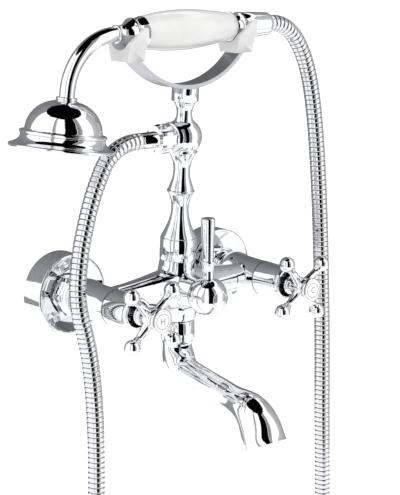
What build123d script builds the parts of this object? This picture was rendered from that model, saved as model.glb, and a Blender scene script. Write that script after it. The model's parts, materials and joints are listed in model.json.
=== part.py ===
from build123d import *
from math import cos, pi, radians, sin, sqrt, tan
import os

# Wall mounted bath mixer with a cradle, hand shower, hose, diverter and swivel spout.
# Frame: X along the wall to the right, Y into the wall, Z up, in millimetres.
# The origin lies on the finished wall, midway between the two supply inlets.
# "Forward" means the distance out from the wall, along -Y.

# --- whole mixer ---------------------------------------------------------------
INLET_SPACING = 150.0        # centre to centre of the two supplies
BODY_RISE = 8.0              # eccentric S-unions lift the body axis by this much
HUB_FORWARD = 56.3           # vertical axis of hub, spout and riser
RISER_LEAN = 4.3             # degrees, the riser leans out from the wall
THREAD_GAP = 0.05            # radial gap between a male and a female thread
RUNNING_GAP = 0.05           # radial gap of a shaft that turns in its bore
FACE_GAP = 0.3               # gap between faces of bodies that move past each other
DISC_GAP = 0.02              # gap between the two lapped ceramic discs

# --- supply connection -----------------------------------------------------------
WALL_THREAD_R = 10.48        # G1/2
WALL_THREAD_DEPTH = 14.0     # how far the S-union goes into the wall fitting
WALL_WAY_R = 6.5             # waterway through the wall thread
UNION_THREAD_R = 13.2        # G3/4
UNION_THREAD_FRONT = 19.5    # forward end of the S-union
UNION_WAY_R = 8.0            # waterway through the union thread
S_WEB_BACK = 2.0             # the web that joins the two offset stubs
S_WEB_THICK = 5.0
ESCUTCHEON_R = 31.3
ESCUTCHEON_DEPTH = 21.0
ESCUTCHEON_WALL = 1.5
ESCUTCHEON_DISH = 7.0        # how deep the front face is dished at its hole
WASHER_THICK = 2.0
TAIL_FLANGE_R = 12.6         # flange on the body's inlet tail, inside the union nut
TAIL_FLANGE_THICK = 2.5
TAIL_R = 11.2
NUT_AF = 30.0                # union nut, across flats
NUT_BACK = 15.5
NUT_HEX_FRONT = 26.0
NUT_FRONT = 30.5
NUT_RING_R = 14.2

# --- casting ---------------------------------------------------------------------
BARREL_BACK = 31.5
BARREL_FRONT = HUB_FORWARD + 18.2
BARREL_BACK_R = 15.6
BARREL_FRONT_R = 13.75
VALVE_BORE_R = 9.5
SEAT_FORWARD = HUB_FORWARD - 8.3
INLET_BORE_R = 5.5
ARM_HUB_R = 16.5
ARM_TIP_R = 10.8
ARM_BORE_R = 6.0
HUB_R = 14.2
HUB_TOP = 24.0               # above the body axis
HUB_BOTTOM = -22.0           # below the body axis
HUB_BORE_R = 8.0
BOSS_FRONT = HUB_FORWARD + 26.5
BOSS_R = 12.3

# --- side valves -----------------------------------------------------------------
HEADWORK_FLANGE_R = 11.0
HEADWORK_FLANGE_THICK = 2.5
HEADWORK_HEX_AF = 19.0
HEADWORK_HEX_FRONT = HUB_FORWARD + 27.7
HEADWORK_FRONT = HUB_FORWARD + 36.7
HEADWORK_SLEEVE_R = 7.0
HEADWORK_CUP_R = 8.0
SEAL_THICK = 1.0
DISC_THICK = 2.5
DISC_R = 7.6
SEAT_SEAL_BORE_R = 5.0
DISC_PORT_R = 6.0            # outer edge of the disc's quarter openings
DISC_HUB_R = 2.2             # inner edge of the disc's quarter openings
SPINDLE_R = 4.5
SPINDLE_FRONT = HUB_FORWARD + 57.7
SPLINE_R = 3.8
BONNET_BACK = HUB_FORWARD + 19.0
BONNET_FRONT = HUB_FORWARD + 45.2
BONNET_BACK_R = 13.7
BONNET_FRONT_R = 12.2
BONNET_MOUTH_R = 10.0

# --- cross handles ---------------------------------------------------------------
HANDLE_BALL_FORWARD = HUB_FORWARD + 61.7
HANDLE_BALL_ORBIT = 26.4
HANDLE_BALL_R = 6.1
HANDLE_ARM_ROOT_R = 4.2
HANDLE_ARM_R = 2.8
HANDLE_NECK_R = 6.3
HANDLE_HUB_R = 8.0
HANDLE_DISC_R = 9.4
HANDLE_BACK = HUB_FORWARD + 42.2
HANDLE_FRONT = HUB_FORWARD + 73.5
CAP_R = 7.4
CAP_RECESS = 1.4
CAP_PROUD = 0.5
SCREW_R = 2.0                # M4 screw that holds the handle
SCREW_HEAD_R = 3.6
SCREW_GRIP = 6.0             # from the spindle's end to the underside of the screw's head
SCREW_HEAD_THICK = 2.5
HOT_ARM_ANGLE = 45.0         # degrees of the first arm, from +X towards +Z
COLD_ARM_ANGLE = 38.0

# --- diverter --------------------------------------------------------------------
KNOB_R = 15.2
KNOB_CENTRE = HUB_FORWARD + 36.3
KNOB_FLAT_R = 6.33
LEVER_TIP = 61.2             # above the body axis
LEVER_TIP_R = 5.6
LEVER_WAIST_R = 4.3
LEVER_RING_R = 5.4
LEVER_STUB_R = 4.6
LEVER_RING_BASE = 25.3       # above the body axis
DIVERTER_BORE_R = 9.0

# --- riser -----------------------------------------------------------------------
COLLAR_R = 14.2
COLLAR_TALL = 17.6
COLUMN_THREAD_R = 11.0
COLUMN_BORE_R = 4.0
TEE_R = 14.3
TEE_UP = 96.5                # ball centre above the collar's foot, along the riser
OUTLET_REACH = 15.0
NECK_R = 6.0
CRADLE_NUT_R = 10.4
CRADLE_NUT_FOOT = 123.6      # above the collar's foot, along the riser
CRADLE_NUT_TALL = 10.2
CRADLE_STUD_R = 5.0

# --- cradle ----------------------------------------------------------------------
CRADLE_ARC_R = 68.0          # outer face of the band
CRADLE_BAND_THICK = 3.0
CRADLE_BAND_DEEP = 17.0
CRADLE_HALF_ANGLE = 49.0     # degrees, the band's reach each side of its foot
LEFT_HOOK_X = -62.5          # left end of each hook
RIGHT_HOOK_X = 43.5
HOOK_LONG = 16.0
HOOK_WALL = 3.6
HOOK_LIP = 3.0               # how far the hook's sides rise above the handset axis
HOOK_SHOULDER = -7.0         # height above the handset axis where the lips' left ends begin
HOOK_FOOT = 7.5              # depth of the foot that takes the end of the band
HOOK_STAND = 20.689          # handset axis above the ends of the band

# --- hand shower -----------------------------------------------------------------
HANDSET_FORWARD = 65.5
NECK_TUBE_R = 5.7
NECK_TUBE_WALL = 1.2
NECK_BEND_R = 44.0
NECK_BEND = 82.0             # degrees
NECK_START_X = -66.0
FERRULE_RIM_R = 11.4
GRIP_START_X = -42.0
GRIP_END_X = 43.0
GRIP_MAX_R = 15.2
GRIP_START_R = 12.2
GRIP_END_R = 10.6
CORE_R = 6.5
CORE_START = 6.0             # how far into the ferrule the neck tube meets the core tube
REAR_RING_R = 11.3
REAR_FLARE_X = 53.5
REAR_FLARE_R = 10.6
HEAD_START = 4.5             # where the head begins past the end of the bend
DOME_R = 28.3
BEAD_R = 31.9
RIM_R = 38.9
RIM_DOWN = 42.4              # rim plane past the end of the bend
HEAD_WALL = 1.5
DOME_BASE = 30.4             # foot of the dome past the end of the bend
FACE_RECESS = 0.6
PLATE_THICK = 1.6
GASKET_THICK = 0.8

# --- spout -----------------------------------------------------------------------
SPOUT_NUT_R = 13.1
SPOUT_NUT_TOP = -16.8
SPOUT_NUT_FOOT = -32.8
SPOUT_STUB_R = 11.5
SPOUT_STUB_FOOT = -24.0
SPOUT_TAIL_R = 9.0
SPOUT_R = 12.7
SPOUT_WALL = 2.2
SPOUT_TAIL_BORE_R = 6.0
SPOUT_SHOULDER = 4.0         # solid metal under the tail, above the spout's bore
SPOUT_MOUTH_DEPTH = 9.0
SPOUT_MID_R = 11.5
SPOUT_MOUTH_R = 17.2
SPOUT_REACH = 158.0          # forward of the wall
SPOUT_DROP = -94.9
SPOUT_ELBOW_Z = -56.2
SPOUT_ELBOW_R = 17.0
SPOUT_NOSE_FORWARD = 146.5
SPOUT_NOSE_Z = -72.3
SPOUT_NOSE_R = 24.0

# --- hose ------------------------------------------------------------------------
HOSE_R = 6.5
HOSE_NUT_AC = 23.0           # lower hose nut, across corners
HOSE_NUT_LONG = 14.0
HOSE_FERRULE_LONG = 15.0
HOSE_FERRULE_R = 6.4
HOSE_SEAT_R = 8.6
CONE_NUT_END_X = 84.0
CONE_NUT_R = 10.0
CONE_NUT_TIP_R = 8.5

INLET_X = INLET_SPACING / 2
TAIL_FACE = UNION_THREAD_FRONT + WASHER_THICK
TAIL_BACK_END = TAIL_FACE + TAIL_FLANGE_THICK


# --- placing and drawing helpers ---------------------------------------------------
def profile(start, *moves):
    """Closed outline of (radius, height) points.

    A move is a point for a straight line, a pair of points for an arc through the
    first to the second, or a list of points for a smooth curve.
    """
    edges = []
    here = start
    for move in moves:
        if isinstance(move, list):
            edges.append(Spline(here, *move))
            here = move[-1]
        elif isinstance(move[0], tuple):
            edges.append(ThreePointArc(here, move[0], move[1]))
            here = move[1]
        else:
            edges.append(Line(here, move))
            here = move
    if here != start:
        edges.append(Line(here, start))
    return make_face(edges)


def turned(start, *moves):
    """Solid turned about Z from an outline of (radius, height)."""
    return revolve(Plane.XZ * profile(start, *moves), Axis.Z)


def tube(outer_r, inner_r, low, high):
    """Plain ring between two heights."""
    return turned((inner_r, low), (outer_r, low), (outer_r, high), (inner_r, high))


def rod(radius, low, high):
    """Plain cylinder between two heights."""
    return turned((0, low), (radius, low), (radius, high), (0, high))


def dome_mid(radius, rise):
    """Point half way along a shallow dome over a disc, as (radius, height above its edge)."""
    sphere_r = (radius ** 2 + rise ** 2) / (2 * rise)
    return radius / 2, sqrt(sphere_r ** 2 - radius ** 2 / 4) - (sphere_r - rise)


def hexagon(across_flats, low, high, chamfer_r):
    """Hexagonal prism whose corners are turned down to chamfer_r at both ends."""
    prism = Pos(0, 0, low) * extrude(RegularPolygon(across_flats / 2, 6, major_radius=False), high - low)
    corner_r = across_flats / sqrt(3)
    slope = corner_r - chamfer_r
    blank = turned(
        (0, low),
        (chamfer_r, low),
        (corner_r, low + slope),
        (corner_r, high - slope),
        (chamfer_r, high),
        (0, high),
    )
    return prism & blank


def forward(x=0.0, z=0.0):
    """Place for a piece turned about Z, so that its heights become forward distances."""
    return Pos(x, 0, z) * Rot(90, 0, 0)


def on_riser():
    """Place for a piece whose heights run up the leaning riser from the collar's foot."""
    return Pos(0, -HUB_FORWARD, BODY_RISE + HUB_TOP) * Rot(RISER_LEAN, 0, 0)


def riser_point(up):
    """Point on the riser's axis."""
    lean = radians(RISER_LEAN)
    return (0.0, -HUB_FORWARD - up * sin(lean), BODY_RISE + HUB_TOP + up * cos(lean))


def on_handset():
    """Place for a piece whose heights are X positions along the handset's axis."""
    return Pos(0, -HANDSET_FORWARD, HANDSET_HEIGHT) * Rot(0, 90, 0)


def on_outlet():
    """Place for a piece whose heights run out of the riser's tee, towards -X."""
    return Pos(*riser_point(TEE_UP)) * Rot(0, -90, 0)


# --- supply connection -------------------------------------------------------------
def s_union():
    """Eccentric connector: wall thread on the inlet axis, union thread on the body axis."""
    web_front = S_WEB_BACK + S_WEB_THICK
    wall_stub = rod(WALL_THREAD_R, -WALL_THREAD_DEPTH, web_front - 2)
    front_stub = Pos(0, BODY_RISE, 0) * rod(UNION_THREAD_R, web_front, UNION_THREAD_FRONT)
    waist_r = WALL_THREAD_R + 0.5
    web = Pos(0, BODY_RISE / 2, S_WEB_BACK) * extrude(
        Rot(0, 0, 90) * SlotCenterToCenter(BODY_RISE, 2 * waist_r), S_WEB_THICK
    )
    rear_bore = rod(WALL_WAY_R, -WALL_THREAD_DEPTH, web_front + 2)
    front_bore = Pos(0, BODY_RISE, 0) * rod(UNION_WAY_R, web_front - 1, UNION_THREAD_FRONT)
    return wall_stub + web + front_stub - rear_bore - front_bore


def escutcheon():
    """Deep round cover with a dished mirror front."""
    hole_r = UNION_THREAD_R + 0.8
    inner_r = ESCUTCHEON_R - ESCUTCHEON_WALL
    lip_r = ESCUTCHEON_R - 1.4
    hole_front = ESCUTCHEON_DEPTH - ESCUTCHEON_DISH
    mid_r = (lip_r + hole_r) / 2
    mid_front = hole_front + 0.36 * ESCUTCHEON_DISH
    return turned(
        (ESCUTCHEON_R, 0),
        (ESCUTCHEON_R, ESCUTCHEON_DEPTH - 0.8),
        (ESCUTCHEON_R - 0.8, ESCUTCHEON_DEPTH),
        (lip_r, ESCUTCHEON_DEPTH),
        ((mid_r, mid_front), (hole_r, hole_front)),
        (hole_r, hole_front - ESCUTCHEON_WALL),
        ((mid_r, mid_front - ESCUTCHEON_WALL), (inner_r, ESCUTCHEON_DEPTH - 2 * ESCUTCHEON_WALL)),
        (inner_r, 0),
    )


def union_nut():
    """Captive hexagon nut that pulls the body's tail onto the S-union."""
    blank = hexagon(NUT_AF, NUT_BACK, NUT_HEX_FRONT, NUT_AF / 2 + 0.8)
    ring = turned(
        (0, NUT_HEX_FRONT - 0.5),
        (NUT_RING_R, NUT_HEX_FRONT - 0.5),
        (NUT_RING_R, NUT_FRONT - 1),
        (NUT_RING_R - 1, NUT_FRONT),
        (0, NUT_FRONT),
    )
    thread_bore = rod(UNION_THREAD_R + THREAD_GAP, NUT_BACK - 1, TAIL_BACK_END + 0.1)
    tail_bore = rod(TAIL_R + THREAD_GAP, TAIL_BACK_END, NUT_FRONT + 1)
    return blank + ring - thread_bore - tail_bore


def union_washer():
    """Flat rubber washer between S-union and tail flange."""
    return tube(TAIL_FLANGE_R - 0.3, UNION_WAY_R + 0.2, UNION_THREAD_FRONT, TAIL_FACE)


# --- casting -----------------------------------------------------------------------
def barrel(x):
    """One valve barrel with its inlet tail, before boring."""
    turned_barrel = turned(
        (0, TAIL_FACE),
        (TAIL_FLANGE_R, TAIL_FACE),
        (TAIL_FLANGE_R, TAIL_BACK_END),
        (TAIL_R, TAIL_BACK_END),
        (TAIL_R, BARREL_BACK),
        (NUT_RING_R - 0.4, BARREL_BACK),
        (NUT_RING_R - 0.4, BARREL_BACK + 1.2),
        [(BARREL_BACK_R, BARREL_BACK + 5), (14.9, HUB_FORWARD - 10.3), (13.9, HUB_FORWARD + 3.7),
         (BARREL_FRONT_R, BARREL_FRONT)],
        (0, BARREL_FRONT),
    )
    return forward(x, BODY_RISE) * turned_barrel


def barrel_bore(x):
    """Waterway through one barrel: inlet, seat and headwork thread."""
    inlet = rod(INLET_BORE_R, TAIL_FACE - 1, SEAT_FORWARD + 1)
    chamber = rod(VALVE_BORE_R, SEAT_FORWARD, BARREL_FRONT + 1)
    return forward(x, BODY_RISE) * (inlet + chamber)


def body():
    """Chrome plated brass casting: two barrels, arms, hub, riser port, boss and outlet."""
    arm = turned(
        (0, -INLET_X),
        (ARM_TIP_R, -INLET_X),
        (ARM_TIP_R, -INLET_X + 14),
        [(12.4, -44), (14.3, -30), (ARM_HUB_R, -16), (ARM_HUB_R, 16), (14.3, 30), (12.4, 44),
         (ARM_TIP_R, INLET_X - 14)],
        (ARM_TIP_R, INLET_X),
        (0, INLET_X),
    )
    arms = Pos(0, -HUB_FORWARD, BODY_RISE) * Rot(0, 90, 0) * arm
    port = Pos(0, -HUB_FORWARD, BODY_RISE + HUB_TOP) * Rot(RISER_LEAN, 0, 0) * turned(
        (0, -HUB_TOP), (HUB_R + 2.2, -HUB_TOP), [(HUB_R + 1.0, -10), (HUB_R - 0.4, 0)], (0, 0)
    )
    under = Pos(0, -HUB_FORWARD, BODY_RISE) * turned(
        (0, HUB_BOTTOM - 2.6),
        (HUB_R - 1.6, HUB_BOTTOM - 2.6),
        (HUB_R - 0.6, HUB_BOTTOM - 1.4),
        [(HUB_R + 1.4, HUB_BOTTOM + 10), (HUB_R + 1.6, 0)],
        (0, 0),
    )
    stub = Pos(0, -HUB_FORWARD, 0) * rod(SPOUT_STUB_R, SPOUT_STUB_FOOT, 0)
    boss = forward(0, BODY_RISE) * turned(
        (0, HUB_FORWARD),
        (HUB_R + 0.8, HUB_FORWARD),
        [(HUB_R, BOSS_FRONT - 14.8), (BOSS_R, BOSS_FRONT)],
        (0, BOSS_FRONT),
    )
    solid = arms + port + under + stub + boss
    for x in (-INLET_X, INLET_X):
        solid += barrel(x)
    for x in (-INLET_X, INLET_X):
        solid -= barrel_bore(x)
    waterway = Pos(0, -HUB_FORWARD, BODY_RISE) * Rot(0, 90, 0) * rod(ARM_BORE_R, -INLET_X, INLET_X)
    tail_bore_r = SPOUT_TAIL_R + RUNNING_GAP
    spout_bore = Pos(0, -HUB_FORWARD, 0) * rod(tail_bore_r, SPOUT_STUB_FOOT - 1, SPOUT_NUT_TOP + 3)
    spout_feed = Pos(0, -HUB_FORWARD, 0) * rod(HUB_BORE_R, SPOUT_NUT_TOP, BODY_RISE)
    riser_bore = on_riser() * rod(COLUMN_BORE_R, -HUB_TOP + 2, 1)
    diverter_bore = forward(0, BODY_RISE) * rod(DIVERTER_BORE_R, HUB_FORWARD, BOSS_FRONT + 1)
    return solid - waterway - spout_bore - spout_feed - riser_bore - diverter_bore


# --- side valves -------------------------------------------------------------------
FIXED_DISC_BACK = SEAT_FORWARD + SEAL_THICK
TURNING_DISC_BACK = FIXED_DISC_BACK + DISC_THICK + DISC_GAP
DRIVER_BACK = TURNING_DISC_BACK + DISC_THICK
DRIVER_FRONT = DRIVER_BACK + 4.0
FLANGE_BACK = BARREL_FRONT + SEAL_THICK


def seat_seal():
    """Rubber ring that the fixed disc is pressed against."""
    return tube(DISC_R, SEAT_SEAL_BORE_R, SEAT_FORWARD, FIXED_DISC_BACK)


def ceramic_disc(back):
    """Ceramic disc with two quarter openings."""
    disc = rod(DISC_R, back, back + DISC_THICK)
    opening = Pos(0, 0, back - 1) * extrude(Circle(DISC_PORT_R) - Circle(DISC_HUB_R), DISC_THICK + 2)
    wedge = Pos(0, 0, back - 1) * extrude(
        Polygon((0, 0), (9, 9), (9, -9), align=None) + Polygon((0, 0), (-9, 9), (-9, -9), align=None),
        DISC_THICK + 2,
    )
    return disc - (opening & wedge)


def headwork():
    """Brass valve body that screws into the barrel."""
    thread_r = VALVE_BORE_R - THREAD_GAP
    outer = turned(
        (0, FIXED_DISC_BACK),
        (thread_r, FIXED_DISC_BACK),
        (thread_r, FLANGE_BACK),
        (HEADWORK_FLANGE_R, FLANGE_BACK),
        (HEADWORK_FLANGE_R, FLANGE_BACK + HEADWORK_FLANGE_THICK),
        (0, FLANGE_BACK + HEADWORK_FLANGE_THICK),
    )
    hexagon_part = hexagon(
        HEADWORK_HEX_AF,
        FLANGE_BACK + HEADWORK_FLANGE_THICK - 0.1,
        HEADWORK_HEX_FRONT,
        HEADWORK_HEX_AF / 2 + 0.4,
    )
    sleeve = rod(HEADWORK_SLEEVE_R, HEADWORK_HEX_FRONT - 0.1, HEADWORK_FRONT)
    cup = rod(HEADWORK_CUP_R, FIXED_DISC_BACK - 1, DRIVER_FRONT + 0.5)
    spindle_bore = rod(SPINDLE_R + RUNNING_GAP, FIXED_DISC_BACK, HEADWORK_FRONT + 1)
    window = Pos(0, 0, DRIVER_BACK) * Box(8, 24, 5)
    return outer + hexagon_part + sleeve - cup - spindle_bore - window


def headwork_seal():
    """Fibre ring under the headwork flange."""
    return tube(HEADWORK_FLANGE_R, VALVE_BORE_R + 0.1, BARREL_FRONT, FLANGE_BACK)


def spindle(front, back, driver_front, step):
    """Brass spindle with a driver plate at the back and a thinner splined end."""
    return turned(
        (0, back), (DISC_R - 0.2, back), (DISC_R - 0.2, driver_front), (SPINDLE_R, driver_front),
        (SPINDLE_R, step), (SPLINE_R, step), (SPLINE_R, front - 0.6), (SPLINE_R - 0.6, front), (0, front),
    )


def bonnet():
    """Chrome sleeve over the headwork with an open mouth for the handle neck."""
    inner_r = BONNET_BACK_R - 2.0
    return turned(
        (BONNET_BACK_R, BONNET_BACK),
        [(13.2, BONNET_BACK + 11.7), (BONNET_FRONT_R + 0.3, BONNET_FRONT - 3.0)],
        ((BONNET_FRONT_R, BONNET_FRONT - 0.9), (BONNET_FRONT_R - 0.9, BONNET_FRONT)),
        (BONNET_MOUTH_R, BONNET_FRONT),
        (BONNET_MOUTH_R, HEADWORK_FRONT - 1),
        (inner_r - 0.6, HEADWORK_FRONT - 3),
        (inner_r, BONNET_BACK),
    )


def cross_handle(arm_angle):
    """Four armed handle with ball ends, a grooved neck and a thick front disc."""
    hub = turned(
        (0, HANDLE_BACK),
        (HANDLE_NECK_R - 0.6, HANDLE_BACK),
        (HANDLE_NECK_R, HANDLE_BACK + 0.6),
        (HANDLE_NECK_R, HANDLE_BACK + 5.5),
        (HANDLE_NECK_R + 1.0, HANDLE_BACK + 6.1),
        (HANDLE_NECK_R + 1.0, HANDLE_BACK + 7.5),
        (HANDLE_NECK_R - 0.3, HANDLE_BACK + 8.3),
        [(HANDLE_NECK_R, HANDLE_BACK + 10.5), (HANDLE_HUB_R, HANDLE_BACK + 14.5)],
        (HANDLE_HUB_R, HANDLE_FRONT - 7.8),
        [(HANDLE_HUB_R - 0.9, HANDLE_FRONT - 5.8), (HANDLE_DISC_R - 0.8, HANDLE_FRONT - 4.2)],
        (HANDLE_DISC_R, HANDLE_FRONT - 3.4),
        (HANDLE_DISC_R, HANDLE_FRONT - 0.9),
        (HANDLE_DISC_R - 0.9, HANDLE_FRONT),
        (0, HANDLE_FRONT),
    )
    collar = HANDLE_BALL_ORBIT - HANDLE_BALL_R
    ring_r = HANDLE_ARM_R + 0.7
    seat = HANDLE_BALL_ORBIT - sqrt(HANDLE_BALL_R ** 2 - ring_r ** 2)
    arm = turned(
        (0, 2.0),
        (HANDLE_ARM_ROOT_R, 2.0),
        (HANDLE_ARM_ROOT_R, HANDLE_HUB_R - 1.0),
        [(HANDLE_ARM_R + 0.3, 13), (HANDLE_ARM_R, 17)],
        (HANDLE_ARM_R, collar - 0.8),
        (ring_r, collar - 0.3),
        (ring_r, seat),
        ((HANDLE_BALL_R, HANDLE_BALL_ORBIT), (0, HANDLE_BALL_ORBIT + HANDLE_BALL_R)),
    )
    for quarter in range(4):
        hub += Pos(0, 0, HANDLE_BALL_FORWARD) * Rot(0, 0, arm_angle + 90 * quarter) * Rot(0, 90, 0) * arm
    spline_bore = rod(SPLINE_R + THREAD_GAP, HANDLE_BACK - 1, SPINDLE_FRONT + 0.5)
    screw_bore = rod(SCREW_R + THREAD_GAP, SPINDLE_FRONT, HANDLE_FRONT)
    head_bore = rod(SCREW_HEAD_R + FACE_GAP, SPINDLE_FRONT + SCREW_GRIP, HANDLE_FRONT)
    recess = rod(CAP_R + THREAD_GAP, HANDLE_FRONT - CAP_RECESS, HANDLE_FRONT + 1)
    return hub - spline_bore - screw_bore - head_bore - recess


def handle_screw():
    """Pan head screw that clamps the handle to the spindle."""
    head_back = SPINDLE_FRONT + SCREW_GRIP
    head_front = head_back + SCREW_HEAD_THICK
    shank = rod(SCREW_R, SPINDLE_FRONT + 0.5, head_back)
    head = rod(SCREW_HEAD_R, head_back, head_front)
    slot = Pos(0, 0, head_front) * Box(8, 1.0, 2.0)
    return shank + head - slot


def index_cap():
    """White index button, slightly domed."""
    back = HANDLE_FRONT - CAP_RECESS
    edge = HANDLE_FRONT + 0.1
    mid_r, mid_up = dome_mid(CAP_R, CAP_PROUD)
    return turned((0, back), (CAP_R, back), (CAP_R, edge), ((mid_r, edge + mid_up), (0, edge + CAP_PROUD)))


# --- diverter ----------------------------------------------------------------------
KNOB_BACK = BOSS_FRONT + FACE_GAP + 0.2
KNOB_FLAT = KNOB_CENTRE + sqrt(KNOB_R ** 2 - KNOB_FLAT_R ** 2)
DIVERTER_STEM_R = 4.5
CHAMBER_FRONT = BOSS_FRONT - 12.8


def diverter_cartridge():
    """Brass diverter insert pressed and sealed in the boss."""
    outer = rod(DIVERTER_BORE_R - THREAD_GAP, HUB_FORWARD + 3, BOSS_FRONT)
    chamber = rod(7.0, HUB_FORWARD + 3, CHAMBER_FRONT)
    bore = rod(DIVERTER_STEM_R + RUNNING_GAP, CHAMBER_FRONT, BOSS_FRONT)
    side_ports = Pos(0, 0, HUB_FORWARD + 7) * Box(8, 24, 6)
    return outer - chamber - bore - side_ports


def diverter_spindle():
    """Spindle that carries the diverter gate and is fixed in the knob."""
    shaft = rod(DIVERTER_STEM_R, CHAMBER_FRONT - 3, KNOB_BACK + 10)
    gate = rod(6.5, HUB_FORWARD + 4, CHAMBER_FRONT - 2.9) - Pos(0, 4.2, HUB_FORWARD + 7) * Box(14, 6, 8)
    return shaft + gate


def diverter_knob():
    """Ball shaped knob with a small flat front and a threaded seat for the lever."""
    ball = turned(
        (0, KNOB_BACK),
        (sqrt(KNOB_R ** 2 - (KNOB_CENTRE - KNOB_BACK) ** 2), KNOB_BACK),
        ((KNOB_R, KNOB_CENTRE), (KNOB_FLAT_R, KNOB_FLAT)),
        (0, KNOB_FLAT),
    )
    stem_bore = rod(DIVERTER_STEM_R + THREAD_GAP, KNOB_BACK - 1, KNOB_BACK + 10)
    lever_bore = Pos(0, 0, KNOB_CENTRE) * Rot(-90, 0, 0) * rod(2.5 + THREAD_GAP, 9, KNOB_R + 1)
    spot_face = Pos(0, 0, KNOB_CENTRE) * Rot(-90, 0, 0) * rod(LEVER_STUB_R + 0.6, KNOB_R - 0.5, KNOB_R + 1)
    cap_recess = rod(KNOB_FLAT_R - 0.5, KNOB_FLAT - 1.2, KNOB_FLAT + 1)
    return ball - stem_bore - lever_bore - spot_face - cap_recess


def diverter_cap():
    """Mirror flat plug in the knob's front."""
    outer_r = KNOB_FLAT_R - 0.5 - THREAD_GAP
    return turned(
        (0, KNOB_FLAT - 1.2),
        (outer_r, KNOB_FLAT - 1.2),
        (outer_r, KNOB_FLAT),
        (outer_r - 0.3, KNOB_FLAT + 0.3),
        (0, KNOB_FLAT + 0.3),
    )


def diverter_lever():
    """Tapered pin that turns the knob; it is widest at its tip."""
    ring_top = LEVER_RING_BASE + 3.0
    return Pos(0, -KNOB_CENTRE, BODY_RISE) * turned(
        (0, 9.5),
        (2.5, 9.5),
        (2.5, KNOB_R - 0.5),
        (LEVER_STUB_R + 0.4, KNOB_R - 0.5),
        (LEVER_STUB_R, KNOB_R + 1.0),
        (LEVER_STUB_R, LEVER_RING_BASE),
        (LEVER_RING_R, LEVER_RING_BASE + 0.6),
        (LEVER_RING_R, ring_top - 0.6),
        (LEVER_WAIST_R, ring_top),
        (LEVER_TIP_R, LEVER_TIP - 1.6),
        ((LEVER_TIP_R - 0.5, LEVER_TIP - 0.4), (LEVER_TIP_R - 1.6, LEVER_TIP)),
        (0, LEVER_TIP),
    )


# --- riser -------------------------------------------------------------------------
def riser_collar():
    """Union ring that clamps the riser to its port on the hub."""
    return turned(
        (COLUMN_THREAD_R + THREAD_GAP, 0),
        (COLLAR_R - 0.5, 0),
        (COLLAR_R, 0.5),
        (COLLAR_R, COLLAR_TALL - 0.8),
        (COLLAR_R - 0.8, COLLAR_TALL),
        (COLUMN_THREAD_R + THREAD_GAP, COLLAR_TALL),
    )


def riser_seal():
    """Fibre washer under the foot of the column."""
    return tube(COLUMN_THREAD_R - 0.4, COLUMN_BORE_R + 0.4, 0, 1.5)


def riser_column():
    """Turned baluster with a tee ball, a side outlet and a neck for the cradle nut."""
    outlet = Pos(0, 0, TEE_UP) * Rot(-RISER_LEAN, 0, 0) * Rot(0, -90, 0)
    column = turned(
        (0, 1.5),
        (COLUMN_THREAD_R, 1.5),
        (COLUMN_THREAD_R, COLLAR_TALL),
        (COLLAR_R - 0.6, COLLAR_TALL),
        (COLLAR_R - 0.6, COLLAR_TALL + 0.8),
        [(11.4, 22.8), (9.3, 27.6), (7.3, 34.4), (6.75, 42.0), (8.2, 48.8), (10.0, 53.2)],
        ((10.8, 54.1), (10.0, 55.0)),
        [(8.3, 60.3), (6.7, 66), (6.4, 69.5), (7.6, 77.7), (11.6, 85.0)],
        (0, TEE_UP),
        (8.0, TEE_UP + 11.8),
        [(NECK_R + 0.2, 112), (NECK_R, 115), (NECK_R + 0.6, 119), (8.6, CRADLE_NUT_FOOT - 0.6)],
        (8.6, CRADLE_NUT_FOOT),
        (CRADLE_STUD_R, CRADLE_NUT_FOOT),
        (CRADLE_STUD_R, CRADLE_NUT_FOOT + CRADLE_NUT_TALL - 2),
        (0, CRADLE_NUT_FOOT + CRADLE_NUT_TALL - 2),
    )
    column += Pos(0, 0, TEE_UP) * Sphere(TEE_R)
    column += outlet * turned(
        (0, 0), (12.0, 0), (12.0, TEE_R - 1.4), (11.0, TEE_R - 0.6),
        (HOSE_SEAT_R, TEE_R - 0.6), (HOSE_SEAT_R, OUTLET_REACH + 6), (0, OUTLET_REACH + 6),
    )
    bore = rod(COLUMN_BORE_R, 0, TEE_UP)
    side_bore = outlet * rod(COLUMN_BORE_R, 0, OUTLET_REACH + 7)
    return column - bore - side_bore


def cradle_nut():
    """Round nut on the riser's stud; its head is cut to seat the band."""
    foot = CRADLE_NUT_FOOT
    head = foot + CRADLE_NUT_TALL
    bore_r = CRADLE_STUD_R + THREAD_GAP
    bore_top = head - 1.8
    nut = turned(
        (bore_r, foot),
        (CRADLE_NUT_R - 0.9, foot),
        (CRADLE_NUT_R, foot + 0.9),
        (CRADLE_NUT_R, head + CRADLE_BAND_THICK / 2),
        (0, head + CRADLE_BAND_THICK / 2),
        (0, bore_top),
        (bore_r, bore_top),
    )
    above = Pos(0, -HANDSET_FORWARD, CRADLE_ARC_Z) * Rot(90, 0, 0) * Cylinder(CRADLE_ARC_R, 60)
    return on_riser() * nut - above


# --- cradle ------------------------------------------------------------------------
CRADLE_FOOT_Z = riser_point(CRADLE_NUT_FOOT + CRADLE_NUT_TALL)[2]
CRADLE_ARC_Z = CRADLE_FOOT_Z + CRADLE_ARC_R
HANDSET_HEIGHT = CRADLE_ARC_Z - CRADLE_ARC_R * cos(radians(CRADLE_HALF_ANGLE)) + HOOK_STAND
LEFT_HOOK_R = FERRULE_RIM_R + 0.5
RIGHT_HOOK_R = REAR_RING_R + 0.5


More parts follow.
